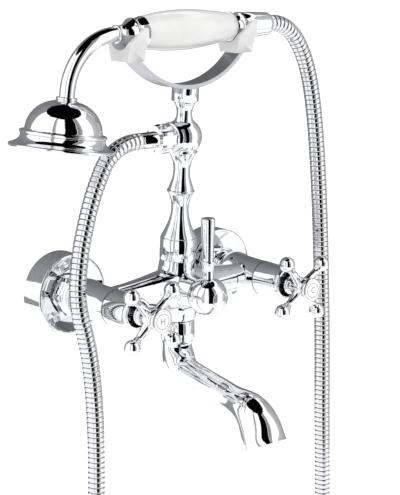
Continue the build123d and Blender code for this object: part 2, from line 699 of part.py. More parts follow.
def cradle_band():
    """Curved flat band that carries a hook at each end."""
    ring = Circle(CRADLE_ARC_R) - Circle(CRADLE_ARC_R - CRADLE_BAND_THICK)
    reach = 2 * CRADLE_ARC_R
    half = radians(CRADLE_HALF_ANGLE)
    wedge = Polygon(
        (0, 0),
        (-reach * sin(half), -reach * cos(half)),
        (0, -2 * reach),
        (reach * sin(half), -reach * cos(half)),
        align=None,
    )
    band = extrude(Plane.XZ * (ring & wedge), CRADLE_BAND_DEEP / 2, both=True)
    return Pos(0, -HANDSET_FORWARD, CRADLE_ARC_Z) * band


def hook(start_x, inner_r):
    """White U shaped saddle that grips the end of the band; its lips rise towards +X."""
    outer_r = inner_r + HOOK_WALL
    foot_half = CRADLE_BAND_DEEP / 2 + 1.2
    foot_low = -inner_r - 0.8 - HOOK_FOOT
    cheek = Polygon(
        (-outer_r, 0), (-foot_half, foot_low), (foot_half, foot_low), (outer_r, 0), align=None
    )
    section = Circle(outer_r) + cheek + Rectangle(2 * outer_r, HOOK_LIP, align=(Align.CENTER, Align.MIN))
    section -= Pos(0, HOOK_LIP) * Rectangle(80, 40, align=(Align.CENTER, Align.MIN))
    section -= Circle(inner_r)
    section -= Rectangle(2 * inner_r, 40, align=(Align.CENTER, Align.MIN))
    for s in (-1, 1):
        section += Pos(s * (inner_r + HOOK_WALL / 2), HOOK_LIP) * Circle(HOOK_WALL / 2)
    saddle = extrude(Plane.YZ * section, HOOK_LONG)
    lip_top = HOOK_LIP + HOOK_WALL / 2 + 1
    above = Plane.XZ * Polygon(
        (-1, HOOK_SHOULDER), (0.7 * HOOK_LONG, HOOK_LIP), (0.7 * HOOK_LONG, lip_top), (-1, lip_top),
        align=None,
    )
    saddle -= extrude(above, 40, both=True)
    return Pos(start_x, -HANDSET_FORWARD, HANDSET_HEIGHT) * saddle - cradle_band()


# --- hand shower -------------------------------------------------------------------
PLATE_BACK = RIM_DOWN - FACE_RECESS - PLATE_THICK
GASKET_TOP = PLATE_BACK - GASKET_THICK
BEND_END_X = NECK_START_X - NECK_BEND_R * sin(radians(NECK_BEND))
BEND_END_Z = HANDSET_HEIGHT - NECK_BEND_R * (1 - cos(radians(NECK_BEND)))


def on_head():
    """Place for a piece whose heights run down the head's axis from the end of the bend."""
    return Pos(BEND_END_X, -HANDSET_FORWARD, BEND_END_Z) * Rot(0, 180 + 90 - NECK_BEND, 0)


def neck_tube():
    """Bent tube from the grip's ferrule to the head."""
    turn = radians(NECK_BEND)
    corner_x = NECK_START_X - NECK_BEND_R * tan(turn / 2)
    tip = NECK_BEND_R * tan(turn / 2) + HEAD_START + 3.0
    path = FilletPolyline(
        (NECK_START_X + CORE_START, -HANDSET_FORWARD, HANDSET_HEIGHT),
        (corner_x, -HANDSET_FORWARD, HANDSET_HEIGHT),
        (corner_x - tip * cos(turn), -HANDSET_FORWARD, HANDSET_HEIGHT - tip * sin(turn)),
        radius=NECK_BEND_R,
    )
    ring = Circle(NECK_TUBE_R) - Circle(NECK_TUBE_R - NECK_TUBE_WALL)
    return sweep(Plane(origin=path @ 0, z_dir=path % 0) * ring, path)


def front_ferrule():
    """Turned ferrule: bead, waist and trumpet that meets the grip."""
    x = NECK_START_X
    bore_r = NECK_TUBE_R + THREAD_GAP
    return turned(
        (bore_r, x),
        (6.4, x),
        ((7.0, x + 0.9), (6.4, x + 1.8)),
        [(6.25, x + 3.4), (6.6, x + 6.4), (8.2, x + 10.2), (FERRULE_RIM_R - 0.4, x + 13.6)],
        (FERRULE_RIM_R, x + 14.1),
        (FERRULE_RIM_R, x + 15.3),
        (FERRULE_RIM_R - 0.8, x + 16.0),
        [(FERRULE_RIM_R - 0.6, x + 18), (GRIP_START_R - 0.6, x + 21.5), (GRIP_START_R, GRIP_START_X)],
        (CORE_R + THREAD_GAP, GRIP_START_X),
        (CORE_R + THREAD_GAP, x + CORE_START),
        (bore_r, x + CORE_START),
    )


def grip():
    """White glazed ceramic barrel."""
    bore_r = CORE_R + THREAD_GAP
    return turned(
        (bore_r, GRIP_START_X),
        (GRIP_START_R - 0.3, GRIP_START_X),
        [(14.05, -28.0), (GRIP_MAX_R - 0.1, -12.0), (GRIP_MAX_R - 0.2, 4.0), (13.3, 22.0),
         (GRIP_END_R, GRIP_END_X)],
        (bore_r, GRIP_END_X),
    )


def core_tube():
    """Brass tube through the grip that ties both ferrules together."""
    return tube(CORE_R, NECK_TUBE_R - NECK_TUBE_WALL, NECK_START_X + CORE_START, GRIP_END_X)


def rear_ferrule():
    """Thin ring against the grip, a waist, a trumpet and the hose thread."""
    x = GRIP_END_X
    return turned(
        (4.0, x),
        (REAR_RING_R, x),
        (REAR_RING_R, x + 1.2),
        (REAR_RING_R - 0.8, x + 1.8),
        (6.2, x + 2.0),
        [(5.4, x + 3.4), (6.4, x + 6.4), (REAR_FLARE_R - 0.5, REAR_FLARE_X - 0.9)],
        (REAR_FLARE_R, REAR_FLARE_X - 0.4),
        (REAR_FLARE_R, REAR_FLARE_X),
        (HOSE_SEAT_R - 0.6, REAR_FLARE_X),
        (HOSE_SEAT_R - 0.6, REAR_FLARE_X + 9.0),
        (4.0, REAR_FLARE_X + 9.0),
    )


def check_valve():
    """Plastic non-return insert inside the hose end of the grip."""
    return tube(4.0 - THREAD_GAP, 2.2, GRIP_END_X + 1, REAR_FLARE_X + 8.5)


def head_shell():
    """Chromed bell: collar, dome, bead and flared skirt, open below for the face plate."""
    base = DOME_BASE
    outside = turned(
        (0, HEAD_START),
        (7.2, HEAD_START),
        ((7.9, HEAD_START + 1.0), (7.3, HEAD_START + 2.0)),
        (8.6, HEAD_START + 2.8),
        [(15.6, 9.6), (22.3, 14.6), (26.6, 21.4), (DOME_R, base - 0.8)],
        (BEAD_R - 1.2, base - 0.8),
        ((BEAD_R, base + 0.6), (BEAD_R - 1.0, base + 2.2)),
        [(BEAD_R - 0.6, base + 4.8), (RIM_R - 3.6, base + 8.4), (RIM_R - 0.6, RIM_DOWN - 2.4)],
        ((RIM_R, RIM_DOWN - 1.4), (RIM_R - 0.6, RIM_DOWN - 0.2)),
        (RIM_R - 1.4, RIM_DOWN),
        (0, RIM_DOWN),
    )
    hollow = turned(
        (0, 9.2),
        (9.0, 9.2),
        [(15.2, 11.4), (21.0, 16.0), (25.0, 22.2), (DOME_R - HEAD_WALL, base)],
        (BEAD_R - 2.6, base + 5.0),
        (RIM_R - 5.8, GASKET_TOP),
        (RIM_R - 2.4, GASKET_TOP),
        (RIM_R - 2.4, RIM_DOWN + 1),
        (0, RIM_DOWN + 1),
    )
    return on_head() * (outside - hollow - rod(NECK_TUBE_R + THREAD_GAP, 0, 10))


def face_gasket():
    """Flat ring that seals the face plate in the rim."""
    return on_head() * tube(RIM_R - 2.45, RIM_R - 5.8, GASKET_TOP, PLATE_BACK)


def spray_plate():
    """Round face plate with rings of spray holes."""
    low = PLATE_BACK
    high = RIM_DOWN - FACE_RECESS
    plate = rod(RIM_R - 2.45, low, high)
    for orbit, count in ((8.0, 6), (16.0, 12), (24.0, 18), (31.0, 24)):
        for place in PolarLocations(orbit, count):
            plate -= place * rod(0.7, low - 1, high + 1)
    return on_head() * plate


# --- spout -------------------------------------------------------------------------
def spout_nut():
    """Chrome nut that holds the swivel spout up to the hub."""
    shelf = SPOUT_STUB_FOOT - 4.3
    bore_r = SPOUT_STUB_R + THREAD_GAP
    lip_r = SPOUT_TAIL_R + FACE_GAP
    return Pos(0, -HUB_FORWARD, 0) * turned(
        (lip_r, SPOUT_NUT_FOOT),
        (SPOUT_NUT_R - 0.6, SPOUT_NUT_FOOT),
        (SPOUT_NUT_R, SPOUT_NUT_FOOT + 0.6),
        (SPOUT_NUT_R, SPOUT_NUT_TOP - 0.6),
        (SPOUT_NUT_R - 0.6, SPOUT_NUT_TOP),
        (bore_r, SPOUT_NUT_TOP),
        (bore_r, shelf),
        (lip_r, shelf),
    )


def spout_path():
    """Centre line of the spout: down, forward along a gentle fall and down to the mouth."""
    return FilletPolyline(
        (0, -HUB_FORWARD, SPOUT_NUT_FOOT - 0.4),
        (0, -HUB_FORWARD, SPOUT_ELBOW_Z),
        (0, -SPOUT_NOSE_FORWARD, SPOUT_NOSE_Z),
        (0, -SPOUT_REACH, SPOUT_DROP),
        radius=[SPOUT_ELBOW_R, SPOUT_NOSE_R],
    )


def spout_radius(along):
    """Outer radius at a fraction of the spout's length: slim waist, flared nose."""
    if along < 0.35:
        return SPOUT_R + (SPOUT_MID_R - SPOUT_R) * along / 0.35
    if along < 0.62:
        return SPOUT_MID_R
    nose = (along - 0.62) / 0.38
    return SPOUT_MID_R + (SPOUT_MOUTH_R - SPOUT_MID_R) * sin(nose * pi / 2) ** 1.3


def spout_skin():
    """Solid lofted through round sections along the spout's centre line."""
    path = spout_path()
    stations = 12
    sections = []
    for i in range(stations + 1):
        along = i / stations
        plane = Plane(origin=path @ along, x_dir=(1, 0, 0), z_dir=path % along)
        sections.append(plane * Circle(spout_radius(along)))
    return loft(sections)


def mouth_plane():
    """Plane of the spout's mouth, with its normal pointing out."""
    path = spout_path()
    return Plane(origin=path @ 1, x_dir=(1, 0, 0), z_dir=path % 1)


RING_TOP = SPOUT_STUB_FOOT - 0.6
RING_FOOT = RING_TOP - 2.4
ORING_R = 0.8
ORING_Z = SPOUT_NUT_TOP - 2.5


def spout():
    """Swivel spout with a turned tail, an O-ring groove and a retaining groove."""
    top = SPOUT_NUT_TOP + 2.0
    foot = SPOUT_NUT_FOOT - 0.4
    tail = Pos(0, -HUB_FORWARD, 0) * turned(
        (0, foot - 1),
        (SPOUT_TAIL_R, foot - 1),
        (SPOUT_TAIL_R, RING_FOOT - 0.1),
        (SPOUT_TAIL_R - 1.2, RING_FOOT - 0.1),
        (SPOUT_TAIL_R - 1.2, RING_TOP + 0.1),
        (SPOUT_TAIL_R, RING_TOP + 0.1),
        (SPOUT_TAIL_R, ORING_Z - 1.1),
        (SPOUT_TAIL_R - 1.6, ORING_Z - 1.1),
        (SPOUT_TAIL_R - 1.6, ORING_Z + 1.1),
        (SPOUT_TAIL_R, ORING_Z + 1.1),
        (SPOUT_TAIL_R, top),
        (0, top),
    )
    path = spout_path()
    neck = Pos(0, -HUB_FORWARD, 0) * rod(SPOUT_R, foot - SPOUT_SHOULDER, foot + 1)
    bore = sweep(Plane(origin=path @ 0, z_dir=path % 0) * Circle(SPOUT_MID_R - SPOUT_WALL), path) - neck
    tail_bore = Pos(0, -HUB_FORWARD, 0) * rod(SPOUT_TAIL_BORE_R, foot - SPOUT_SHOULDER - 1, top + 1)
    mouth_bore = mouth_plane() * rod(SPOUT_MOUTH_R - SPOUT_WALL, -SPOUT_MOUTH_DEPTH, 2)
    return spout_skin() + tail - tail_bore - bore - mouth_bore


def spout_oring():
    """Rubber O-ring on the spout's tail."""
    return Pos(0, -HUB_FORWARD, ORING_Z) * Torus(SPOUT_TAIL_R - ORING_R + RUNNING_GAP - 0.02, ORING_R)


def retaining_ring():
    """Split ring in the tail's groove that hangs the spout on the nut."""
    ring = tube(SPOUT_STUB_R - 0.4, SPOUT_TAIL_R - 1.15, RING_FOOT, RING_TOP)
    return Pos(0, -HUB_FORWARD, 0) * (ring - Pos(0, 10, RING_TOP) * Box(2.0, 10, 8))


def aerator():
    """Flow straightener in the spout's mouth: ring and cross web."""
    outer_r = SPOUT_MOUTH_R - SPOUT_WALL - THREAD_GAP
    back = -SPOUT_MOUTH_DEPTH
    ring = tube(outer_r, outer_r - 2.0, back, back + 4.0)
    web = Pos(0, 0, back + 2.0) * (Box(2 * outer_r - 3, 1.2, 3) + Box(1.2, 2 * outer_r - 3, 3))
    return mouth_plane() * (ring + web)


# --- hose --------------------------------------------------------------------------
def lower_hose_nut():
    """Hexagon nut on the tee's side outlet."""
    low = OUTLET_REACH - 1.0
    high = low + HOSE_NUT_LONG
    blank = hexagon(HOSE_NUT_AC * sqrt(3) / 2, low, high, HOSE_NUT_AC * sqrt(3) / 4 + 0.5)
    bore = rod(HOSE_SEAT_R + THREAD_GAP, low - 1, high - 4.0)
    exit_bore = rod(HOSE_FERRULE_R + THREAD_GAP, low, high + 1)
    return on_outlet() * (blank - bore - exit_bore)


def lower_hose_washer():
    """Rubber washer at the end of the outlet."""
    return on_outlet() * tube(HOSE_SEAT_R - 0.2, 4.2, OUTLET_REACH + 6, OUTLET_REACH + 7.5)


def lower_hose_ferrule():
    """Ferrule crimped on the hose, captive in the nut."""
    start = OUTLET_REACH + 7.5
    lip = OUTLET_REACH - 1.0 + HOSE_NUT_LONG - 4.0
    end = OUTLET_REACH - 1.0 + HOSE_NUT_LONG + HOSE_FERRULE_LONG
    ferrule = turned(
        (4.2, start), (HOSE_SEAT_R - 0.2, start), (HOSE_SEAT_R - 0.2, lip), (HOSE_FERRULE_R, lip),
        (HOSE_FERRULE_R, end - 0.6), (HOSE_FERRULE_R - 0.4, end), (4.2, end),
    )
    return on_outlet() * ferrule


def cone_nut():
    """Long conical nut at the hand shower's end of the hose."""
    x = REAR_FLARE_X + FACE_GAP / 3
    end = CONE_NUT_END_X
    bore_r = HOSE_SEAT_R - 0.6 + THREAD_GAP
    return on_handset() * turned(
        (bore_r, x),
        (CONE_NUT_R - 0.5, x),
        (CONE_NUT_R, x + 0.6),
        (CONE_NUT_R, x + 10),
        (CONE_NUT_TIP_R + 0.3, end - 1.6),
        (CONE_NUT_TIP_R - 0.6, end),
        (5.2, end),
        (5.2, REAR_FLARE_X + 10.6),
        (bore_r, REAR_FLARE_X + 10.6),
    )


def upper_hose_washer():
    """Rubber washer between the grip's thread and the cone nut."""
    return on_handset() * tube(HOSE_SEAT_R - 0.8, 4.2, REAR_FLARE_X + 9.0, REAR_FLARE_X + 10.6)


# The hose hangs in a long loop. Its points are chosen by hand; each half of the loop
# belongs to the end that holds it, and the halves meet at the lowest point.
OUTLET_X = -(OUTLET_REACH - 1.0 + HOSE_NUT_LONG + HOSE_FERRULE_LONG)
OUTLET_Y = riser_point(TEE_UP)[1]
OUTLET_Z = riser_point(TEE_UP)[2]
LOWER_HOSE_POINTS = [
    (OUTLET_X, OUTLET_Y, OUTLET_Z),
    (-49.8, OUTLET_Y, OUTLET_Z),
    (-57.0, OUTLET_Y, 126.7),
    (-63.9, OUTLET_Y, 123.6),
    (-70.1, OUTLET_Y, 119.0),
    (-75.6, OUTLET_Y, 112.8),
    (-INLET_X - 6.2, -63.8, 104.0),
    (-INLET_X - 12.4, -64.4, 92.0),
    (-INLET_X - 19.0, -65.2, 74.5),
    (-INLET_X - 26.2, -66.5, 49.0),
    (-INLET_X - 30.2, -67.6, 15.0),
    (-INLET_X - 21.0, -68.0, -19.0),
    (-INLET_X - 16.2, -68.0, -56.0),
    (-INLET_X - 14.6, -68.0, -106.0),
    (-91.0, -68.0, -166.0),
    (-92.0, -68.0, -232.0),
    (-90.0, -67.5, -302.0),
    (-81.0, -66.5, -367.0),
    (-61.0, -65.5, -424.0),
    (-30.0, -64.8, -467.0),
    (8.0, -64.5, -492.0),
    (33.0, -64.5, -492.0),
]
UPPER_HOSE_POINTS = [
    (CONE_NUT_END_X, -HANDSET_FORWARD, HANDSET_HEIGHT),
    (91.3, -HANDSET_FORWARD, HANDSET_HEIGHT),
    (99.0, -HANDSET_FORWARD, HANDSET_HEIGHT - 1.5),
    (106.4, -HANDSET_FORWARD, HANDSET_HEIGHT - 4.7),
    (112.9, -HANDSET_FORWARD, HANDSET_HEIGHT - 9.5),
    (118.4, -HANDSET_FORWARD, HANDSET_HEIGHT - 15.7),
    (123.1, -HANDSET_FORWARD, HANDSET_HEIGHT - 23.3),
    (127.8, -65.3, HANDSET_HEIGHT - 33.5),
    (132.8, -65.2, HANDSET_HEIGHT - 47.5),
    (137.2, -65.0, 141.0),
    (140.8, -65.0, 110.0),
    (144.4, -65.0, 62.0),
    (147.8, -65.0, 2.0),
    (150.0, -65.0, -58.0),
    (151.0, -65.0, -118.0),
    (152.6, -65.0, -180.0),
    (154.0, -65.0, -243.0),
    (153.0, -65.0, -306.0),
    (146.0, -64.8, -367.0),
    (128.0, -64.7, -424.0),
    (97.0, -64.6, -467.0),
    (58.0, -64.5, -492.0),
    (33.0, -64.5, -492.0),
]


def hose_tube(points, label):
    """Plain tube along straight runs joined by the largest arcs that fit them."""
    vectors = [Vector(*p) for p in points]
    runs = [(b - a) for a, b in zip(vectors, vectors[1:])]
    radii = []
    for before, after in zip(runs, runs[1:]):
        half_turn = radians(before.get_angle(after)) / 2
        radii.append(0.45 * min(before.length, after.length) / tan(half_turn))
    path = FilletPolyline(*points, radius=radii)
    solid = sweep(Plane(origin=path @ 0, z_dir=path % 0) * Circle(HOSE_R), path)
    expected = pi * HOSE_R ** 2 * path.length
    print(label, "length", round(path.length, 1), "radii", [round(r) for r in radii])
    print(label, "volume over section times length", round(solid.volume / expected, 4))
    return solid


# --- the whole set -----------------------------------------------------------------
def side_valve(side, x, arm_angle):
    """All the pieces of one supply and its valve, keyed by node name."""
    place = forward(x, BODY_RISE)
    wall_place = forward(x, 0)
    return {
        side + "_s_union": wall_place * s_union(),
        side + "_escutcheon": place * escutcheon(),
        side + "_union_nut": place * union_nut(),
        side + "_fixed_disc": place * ceramic_disc(FIXED_DISC_BACK),
        side + "_turning_disc": place * Rot(0, 0, 90) * ceramic_disc(TURNING_DISC_BACK),
        side + "_headwork": place * headwork(),
        side + "_spindle": place * spindle(SPINDLE_FRONT, DRIVER_BACK, DRIVER_FRONT, HANDLE_BACK - 1.0),
        side + "_bonnet": place * bonnet(),
        side + "_handle": place * cross_handle(arm_angle),
        side + "_handle_screw": place * handle_screw(),
        side + "_index_cap": place * index_cap(),
    }


def pair(piece):
    """The same small seal on both supplies, as one node of two solids."""
    return Compound([forward(x, BODY_RISE) * piece for x in (-INLET_X, INLET_X)])


def all_nodes():
    """Every piece of the mixer, keyed by node name."""
    axis = forward(0, BODY_RISE)
    nodes = {
        "body": body(),
        "union_washers": pair(union_washer()),
        "seat_seals": pair(seat_seal()),
        "headwork_seals": pair(headwork_seal()),
    }
    nodes.update(side_valve("hot", -INLET_X, HOT_ARM_ANGLE))
    nodes.update(side_valve("cold", INLET_X, COLD_ARM_ANGLE))
    nodes["diverter_cartridge"] = axis * diverter_cartridge()
    nodes["diverter_spindle"] = axis * diverter_spindle()
    nodes["diverter_knob"] = axis * diverter_knob()
    nodes["diverter_cap"] = axis * diverter_cap()
    nodes["diverter_lever"] = diverter_lever()
    nodes["riser_seal"] = on_riser() * riser_seal()
    nodes["riser_collar"] = on_riser() * riser_collar()
    nodes["riser_column"] = on_riser() * riser_column()
    nodes["cradle_nut"] = cradle_nut()
    nodes["cradle_band"] = cradle_band()
    nodes["left_hook"] = hook(LEFT_HOOK_X, LEFT_HOOK_R)
    nodes["right_hook"] = hook(RIGHT_HOOK_X, RIGHT_HOOK_R)
    nodes["spout_nut"] = spout_nut()
    nodes["spout"] = spout()
    nodes["spout_oring"] = spout_oring()
    nodes["spout_retaining_ring"] = retaining_ring()
    nodes["aerator"] = aerator()
    nodes["neck_tube"] = neck_tube()
    nodes["head_shell"] = head_shell()
    nodes["face_gasket"] = face_gasket()
    nodes["spray_plate"] = spray_plate()
    nodes["front_ferrule"] = on_handset() * front_ferrule()
    nodes["grip"] = on_handset() * grip()
    nodes["core_tube"] = on_handset() * core_tube()
    nodes["rear_ferrule"] = on_handset() * rear_ferrule()
    nodes["check_valve"] = on_handset() * check_valve()
    nodes["cone_nut"] = cone_nut()
    nodes["upper_hose_washer"] = upper_hose_washer()
    nodes["lower_hose_nut"] = lower_hose_nut()
    nodes["lower_hose_washer"] = lower_hose_washer()
    nodes["lower_hose_ferrule"] = lower_hose_ferrule()
    nodes["hose_lower"] = hose_tube(LOWER_HOSE_POINTS, "hose_lower")
    nodes["hose_upper"] = hose_tube(UPPER_HOSE_POINTS, "hose_upper")
    return nodes


os.makedirs("parts", exist_ok=True)
for node, shape in all_nodes().items():
    export_step(shape, "parts/" + node + ".step")
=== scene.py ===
"""Looks of a wall mounted bath mixer with a cradle hand shower and a ribbed metal hose.

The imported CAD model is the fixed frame. Each sub-assembly stands smooth copies in for its
CAD pieces, adds the details the CAD leaves out, gives each piece its finish and makes it
ride on its CAD body. Sizes are millimetres where a name or comment says so and metres
everywhere else, in the frame's own axes.
"""
import json
import logging
import math
from dataclasses import dataclass, field
from enum import Enum
from typing import Sequence

import bmesh
import bpy
from mathutils import Matrix, Vector


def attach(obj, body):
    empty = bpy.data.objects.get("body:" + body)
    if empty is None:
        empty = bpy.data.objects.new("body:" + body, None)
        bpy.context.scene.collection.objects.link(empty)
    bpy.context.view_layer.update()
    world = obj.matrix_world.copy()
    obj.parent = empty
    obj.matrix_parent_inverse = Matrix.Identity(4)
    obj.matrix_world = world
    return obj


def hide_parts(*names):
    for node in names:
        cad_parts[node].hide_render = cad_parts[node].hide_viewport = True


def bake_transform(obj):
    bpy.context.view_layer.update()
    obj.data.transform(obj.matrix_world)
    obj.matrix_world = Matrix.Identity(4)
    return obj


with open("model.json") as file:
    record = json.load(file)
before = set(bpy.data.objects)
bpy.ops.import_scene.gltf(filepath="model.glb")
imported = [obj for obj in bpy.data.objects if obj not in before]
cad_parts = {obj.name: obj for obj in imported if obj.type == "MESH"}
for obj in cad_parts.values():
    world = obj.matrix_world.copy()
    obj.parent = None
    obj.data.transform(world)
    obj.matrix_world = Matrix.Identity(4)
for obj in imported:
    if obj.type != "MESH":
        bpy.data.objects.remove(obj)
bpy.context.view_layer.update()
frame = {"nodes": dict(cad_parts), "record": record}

LOG = logging.getLogger("bath_mixer")
MM = 0.001


# --- colours and node helpers ----------------------------------------------------------
def linear(hex_colour: str, alpha: float = 1.0) -> tuple[float, float, float, float]:
    """Turn an sRGB hex colour into linear RGBA.

    Args:
        hex_colour: six hex digits with a leading hash.
        alpha: opacity of the result.

    Returns:
        Linear red, green, blue and alpha.
    """
    channels = [int(hex_colour[i:i + 2], 16) / 255 for i in (1, 3, 5)]
    converted = [c / 12.92 if c <= 0.04045 else ((c + 0.055) / 1.055) ** 2.4 for c in channels]
    return (converted[0], converted[1], converted[2], alpha)


def add_node(tree: bpy.types.NodeTree, kind: str, settings: dict | None = None,
             **links: object) -> bpy.types.Node:
    """Add one node with its settings and links.

    Args:
        tree: node tree that receives the node.
        kind: the node's bl_idname.
        settings: attribute names and values of the node.
        links: input name or index as ``in_N`` or the name with underscores, and either an
            output socket to link from or a plain value to set.

    Returns:
        The new node.
    """
    node = tree.nodes.new(kind)
    for name, value in (settings or {}).items():
        setattr(node, name, value)
    for name, value in links.items():
        key = int(name[3:]) if name.startswith("in_") else name.replace("_", " ")
        socket = node.inputs[key]
        if isinstance(value, bpy.types.NodeSocket):
            tree.links.new(value, socket)
        else:
            socket.default_value = value
    return node


# --- finishes --------------------------------------------------------------------------
@dataclass(frozen=True)
class Finish:
    """Base of every finish: a named material with a Principled shader.

    Attributes:
        name: the material's name.
        slot: the record's material slot that the finish belongs to; not used.
    """

    name: str
    slot: str

    def start(self) -> tuple[bpy.types.Material, bpy.types.NodeTree, bpy.types.Node, bpy.types.Node]:
        """Make the material with an output, a Principled shader and Object coordinates.

        Returns:
            The material, its tree, the shader and the Texture Coordinate node.
        """
        material = bpy.data.materials.new(self.name)
        material.use_nodes = True
        tree = material.node_tree
        tree.nodes.clear()
        shader = add_node(tree, "ShaderNodeBsdfPrincipled")
        add_node(tree, "ShaderNodeOutputMaterial", Surface=shader.outputs["BSDF"])
        coords = add_node(tree, "ShaderNodeTexCoord")
        return material, tree, shader, coords

    def build(self) -> bpy.types.Material:
        """Make the material. Each finish has its own."""
        raise NotImplementedError


def ramp(tree: bpy.types.NodeTree, source: bpy.types.NodeSocket, low: float, high: float,
         first: str, last: str) -> bpy.types.NodeSocket:
    """Colour ramp from one hex colour to another between two values of a source.

    Args:
        tree: node tree that receives the ramp.
        source: socket that drives it.
        low: source value that gives the first colour.
        high: source value that gives the last colour.
        first: hex colour at the low end.
        last: hex colour at the high end.

    Returns:
        The colour socket.
    """
    node = add_node(tree, "ShaderNodeValToRGB", Fac=source)
    node.color_ramp.elements[0].position = low
    node.color_ramp.elements[0].color = linear(first)
    node.color_ramp.elements[1].position = high
    node.color_ramp.elements[1].color = linear(last)
    return node.outputs["Color"]


def spread(tree: bpy.types.NodeTree, source: bpy.types.NodeSocket, low: float,
           high: float) -> bpy.types.NodeSocket:
    """Map a 0 to 1 source onto a range of values."""
    node = add_node(tree, "ShaderNodeMapRange", in_0=source, in_3=low, in_4=high)
    return node.outputs["Result"]


@dataclass(frozen=True)
class PlatedChrome(Finish):
    """Bright chrome plate on buffed brass or steel.

    A near mirror. Buffing leaves waves a few millimetres long that bend reflections a
    little, and fine wipe marks that soften them in patches.

    Attributes:
        tone: colour of the plate on the crests of the buffing waves.
        shade: darker colour painted in the shallow hollows between, a painted shade.
        smooth: lowest roughness.
        soft: highest roughness, in the wipe marks.
        wave_mm: length of the buffing waves.
        wipe_mm: width of the wipe marks.
        wave_depth: height of the buffing waves in metres.
    """

    tone: str = "#eff0f2"
    shade: str = "#e8eaed"
    smooth: float = 0.02
    soft: float = 0.06
    wave_mm: float = 7.0
    wipe_mm: float = 0.6
    wave_depth: float = 0.00001

    def build(self) -> bpy.types.Material:
        """Make the chrome material."""
        material, tree, shader, coords = self.start()
        where = coords.outputs["Object"]
        wave = add_node(tree, "ShaderNodeTexNoise", Vector=where, Scale=1 / (self.wave_mm * MM), Detail=1.0)
        wipe_place = add_node(tree, "ShaderNodeMapping", in_0=where, Scale=(1.0, 1.0, 0.12))
        wipe = add_node(tree, "ShaderNodeTexNoise", Vector=wipe_place.outputs[0],
                        Scale=1 / (self.wipe_mm * MM), Detail=3.0)
        # painted shade: the wave noise that makes the bump also darkens the base colour in its hollows
        tree.links.new(ramp(tree, wave.outputs["Fac"], 0.35, 0.65, self.shade, self.tone),
                       shader.inputs["Base Color"])
        tree.links.new(spread(tree, wipe.outputs["Fac"], self.smooth, self.soft), shader.inputs["Roughness"])
        bump = add_node(tree, "ShaderNodeBump", Height=wave.outputs["Fac"], Distance=self.wave_depth)
        tree.links.new(bump.outputs["Normal"], shader.inputs["Normal"])
        shader.inputs["Metallic"].default_value = 1.0
        return material


@dataclass(frozen=True)
class SatinChrome(Finish):
    """Satin chrome plate over pressed strip.

    Brushed along the strip before plating, so reflections spread into a soft grey sheen.
    """

    tone: str = "#c9cbce"
    shade: str = "#b4b7bb"
    smooth: float = 0.24
    soft: float = 0.36
    grain_mm: float = 0.35

    def build(self) -> bpy.types.Material:
        """Make the satin metal."""
        material, tree, shader, coords = self.start()
        stretch = add_node(tree, "ShaderNodeMapping", in_0=coords.outputs["Object"], Scale=(0.05, 1.0, 0.3))
        grain = add_node(tree, "ShaderNodeTexNoise", Vector=stretch.outputs[0],
                         Scale=1 / (self.grain_mm * MM), Detail=4.0)
        tree.links.new(ramp(tree, grain.outputs["Fac"], 0.3, 0.7, self.shade, self.tone),
                       shader.inputs["Base Color"])
        tree.links.new(spread(tree, grain.outputs["Fac"], self.smooth, self.soft), shader.inputs["Roughness"])
        bump = add_node(tree, "ShaderNodeBump", Height=grain.outputs["Fac"], Distance=0.00001)
        tree.links.new(bump.outputs["Normal"], shader.inputs["Normal"])
        shader.inputs["Metallic"].default_value = 1.0
        return material


@dataclass(frozen=True)
class HoseSteel(Finish):
    """Chrome plated steel strip, wound and interlocked into a hose.

    Crowns of the turns keep the bright plate colour; the grooves between them are painted dark, a painted shade.
    """

    tone: str = "#e3e5e8"
    # colour of the painted shade at the bottom of the grooves
    groove: str = "#3a3b3d"

    def build(self) -> bpy.types.Material:
        """Make the hose metal, with painted shade in its grooves, read from the mesh's groove attribute."""
        material, tree, shader, coords = self.start()
        # painted shade: the groove attribute turns the base colour dark towards the bottom of each groove
        depth = add_node(tree, "ShaderNodeAttribute", {"attribute_name": "groove"})
        tree.links.new(ramp(tree, depth.outputs["Fac"], 0.25, 0.85, self.tone, self.groove),
                       shader.inputs["Base Color"])
        scuff = add_node(tree, "ShaderNodeTexNoise", Vector=coords.outputs["Object"], Scale=900.0, Detail=3.0)
        tree.links.new(spread(tree, scuff.outputs["Fac"], 0.05, 0.16), shader.inputs["Roughness"])
        shader.inputs["Metallic"].default_value = 1.0
        return material


@dataclass(frozen=True)
class Glaze(Finish):
    """White glazed porcelain: a milky body under a thin glassy coat."""

    tone: str = "#dededc"
    shade: str = "#d8d8d6"

    def build(self) -> bpy.types.Material:
        """Make the porcelain."""
        material, tree, shader, coords = self.start()
        cloud = add_node(tree, "ShaderNodeTexNoise", Vector=coords.outputs["Object"], Scale=60.0, Detail=2.0)
        tree.links.new(ramp(tree, cloud.outputs["Fac"], 0.35, 0.65, self.shade, self.tone),
                       shader.inputs["Base Color"])
        peel = add_node(tree, "ShaderNodeTexNoise", Vector=coords.outputs["Object"], Scale=220.0, Detail=1.0)
        bump = add_node(tree, "ShaderNodeBump", Height=peel.outputs["Fac"], Distance=0.00002)
        tree.links.new(bump.outputs["Normal"], shader.inputs["Normal"])
        shader.inputs["Roughness"].default_value = 0.22
        shader.inputs["Subsurface Weight"].default_value = 0.15
        shader.inputs["Subsurface Radius"].default_value = (0.6 * MM, 0.6 * MM, 0.6 * MM)
        shader.inputs["Coat Weight"].default_value = 0.8
        shader.inputs["Coat Roughness"].default_value = 0.03
        return material


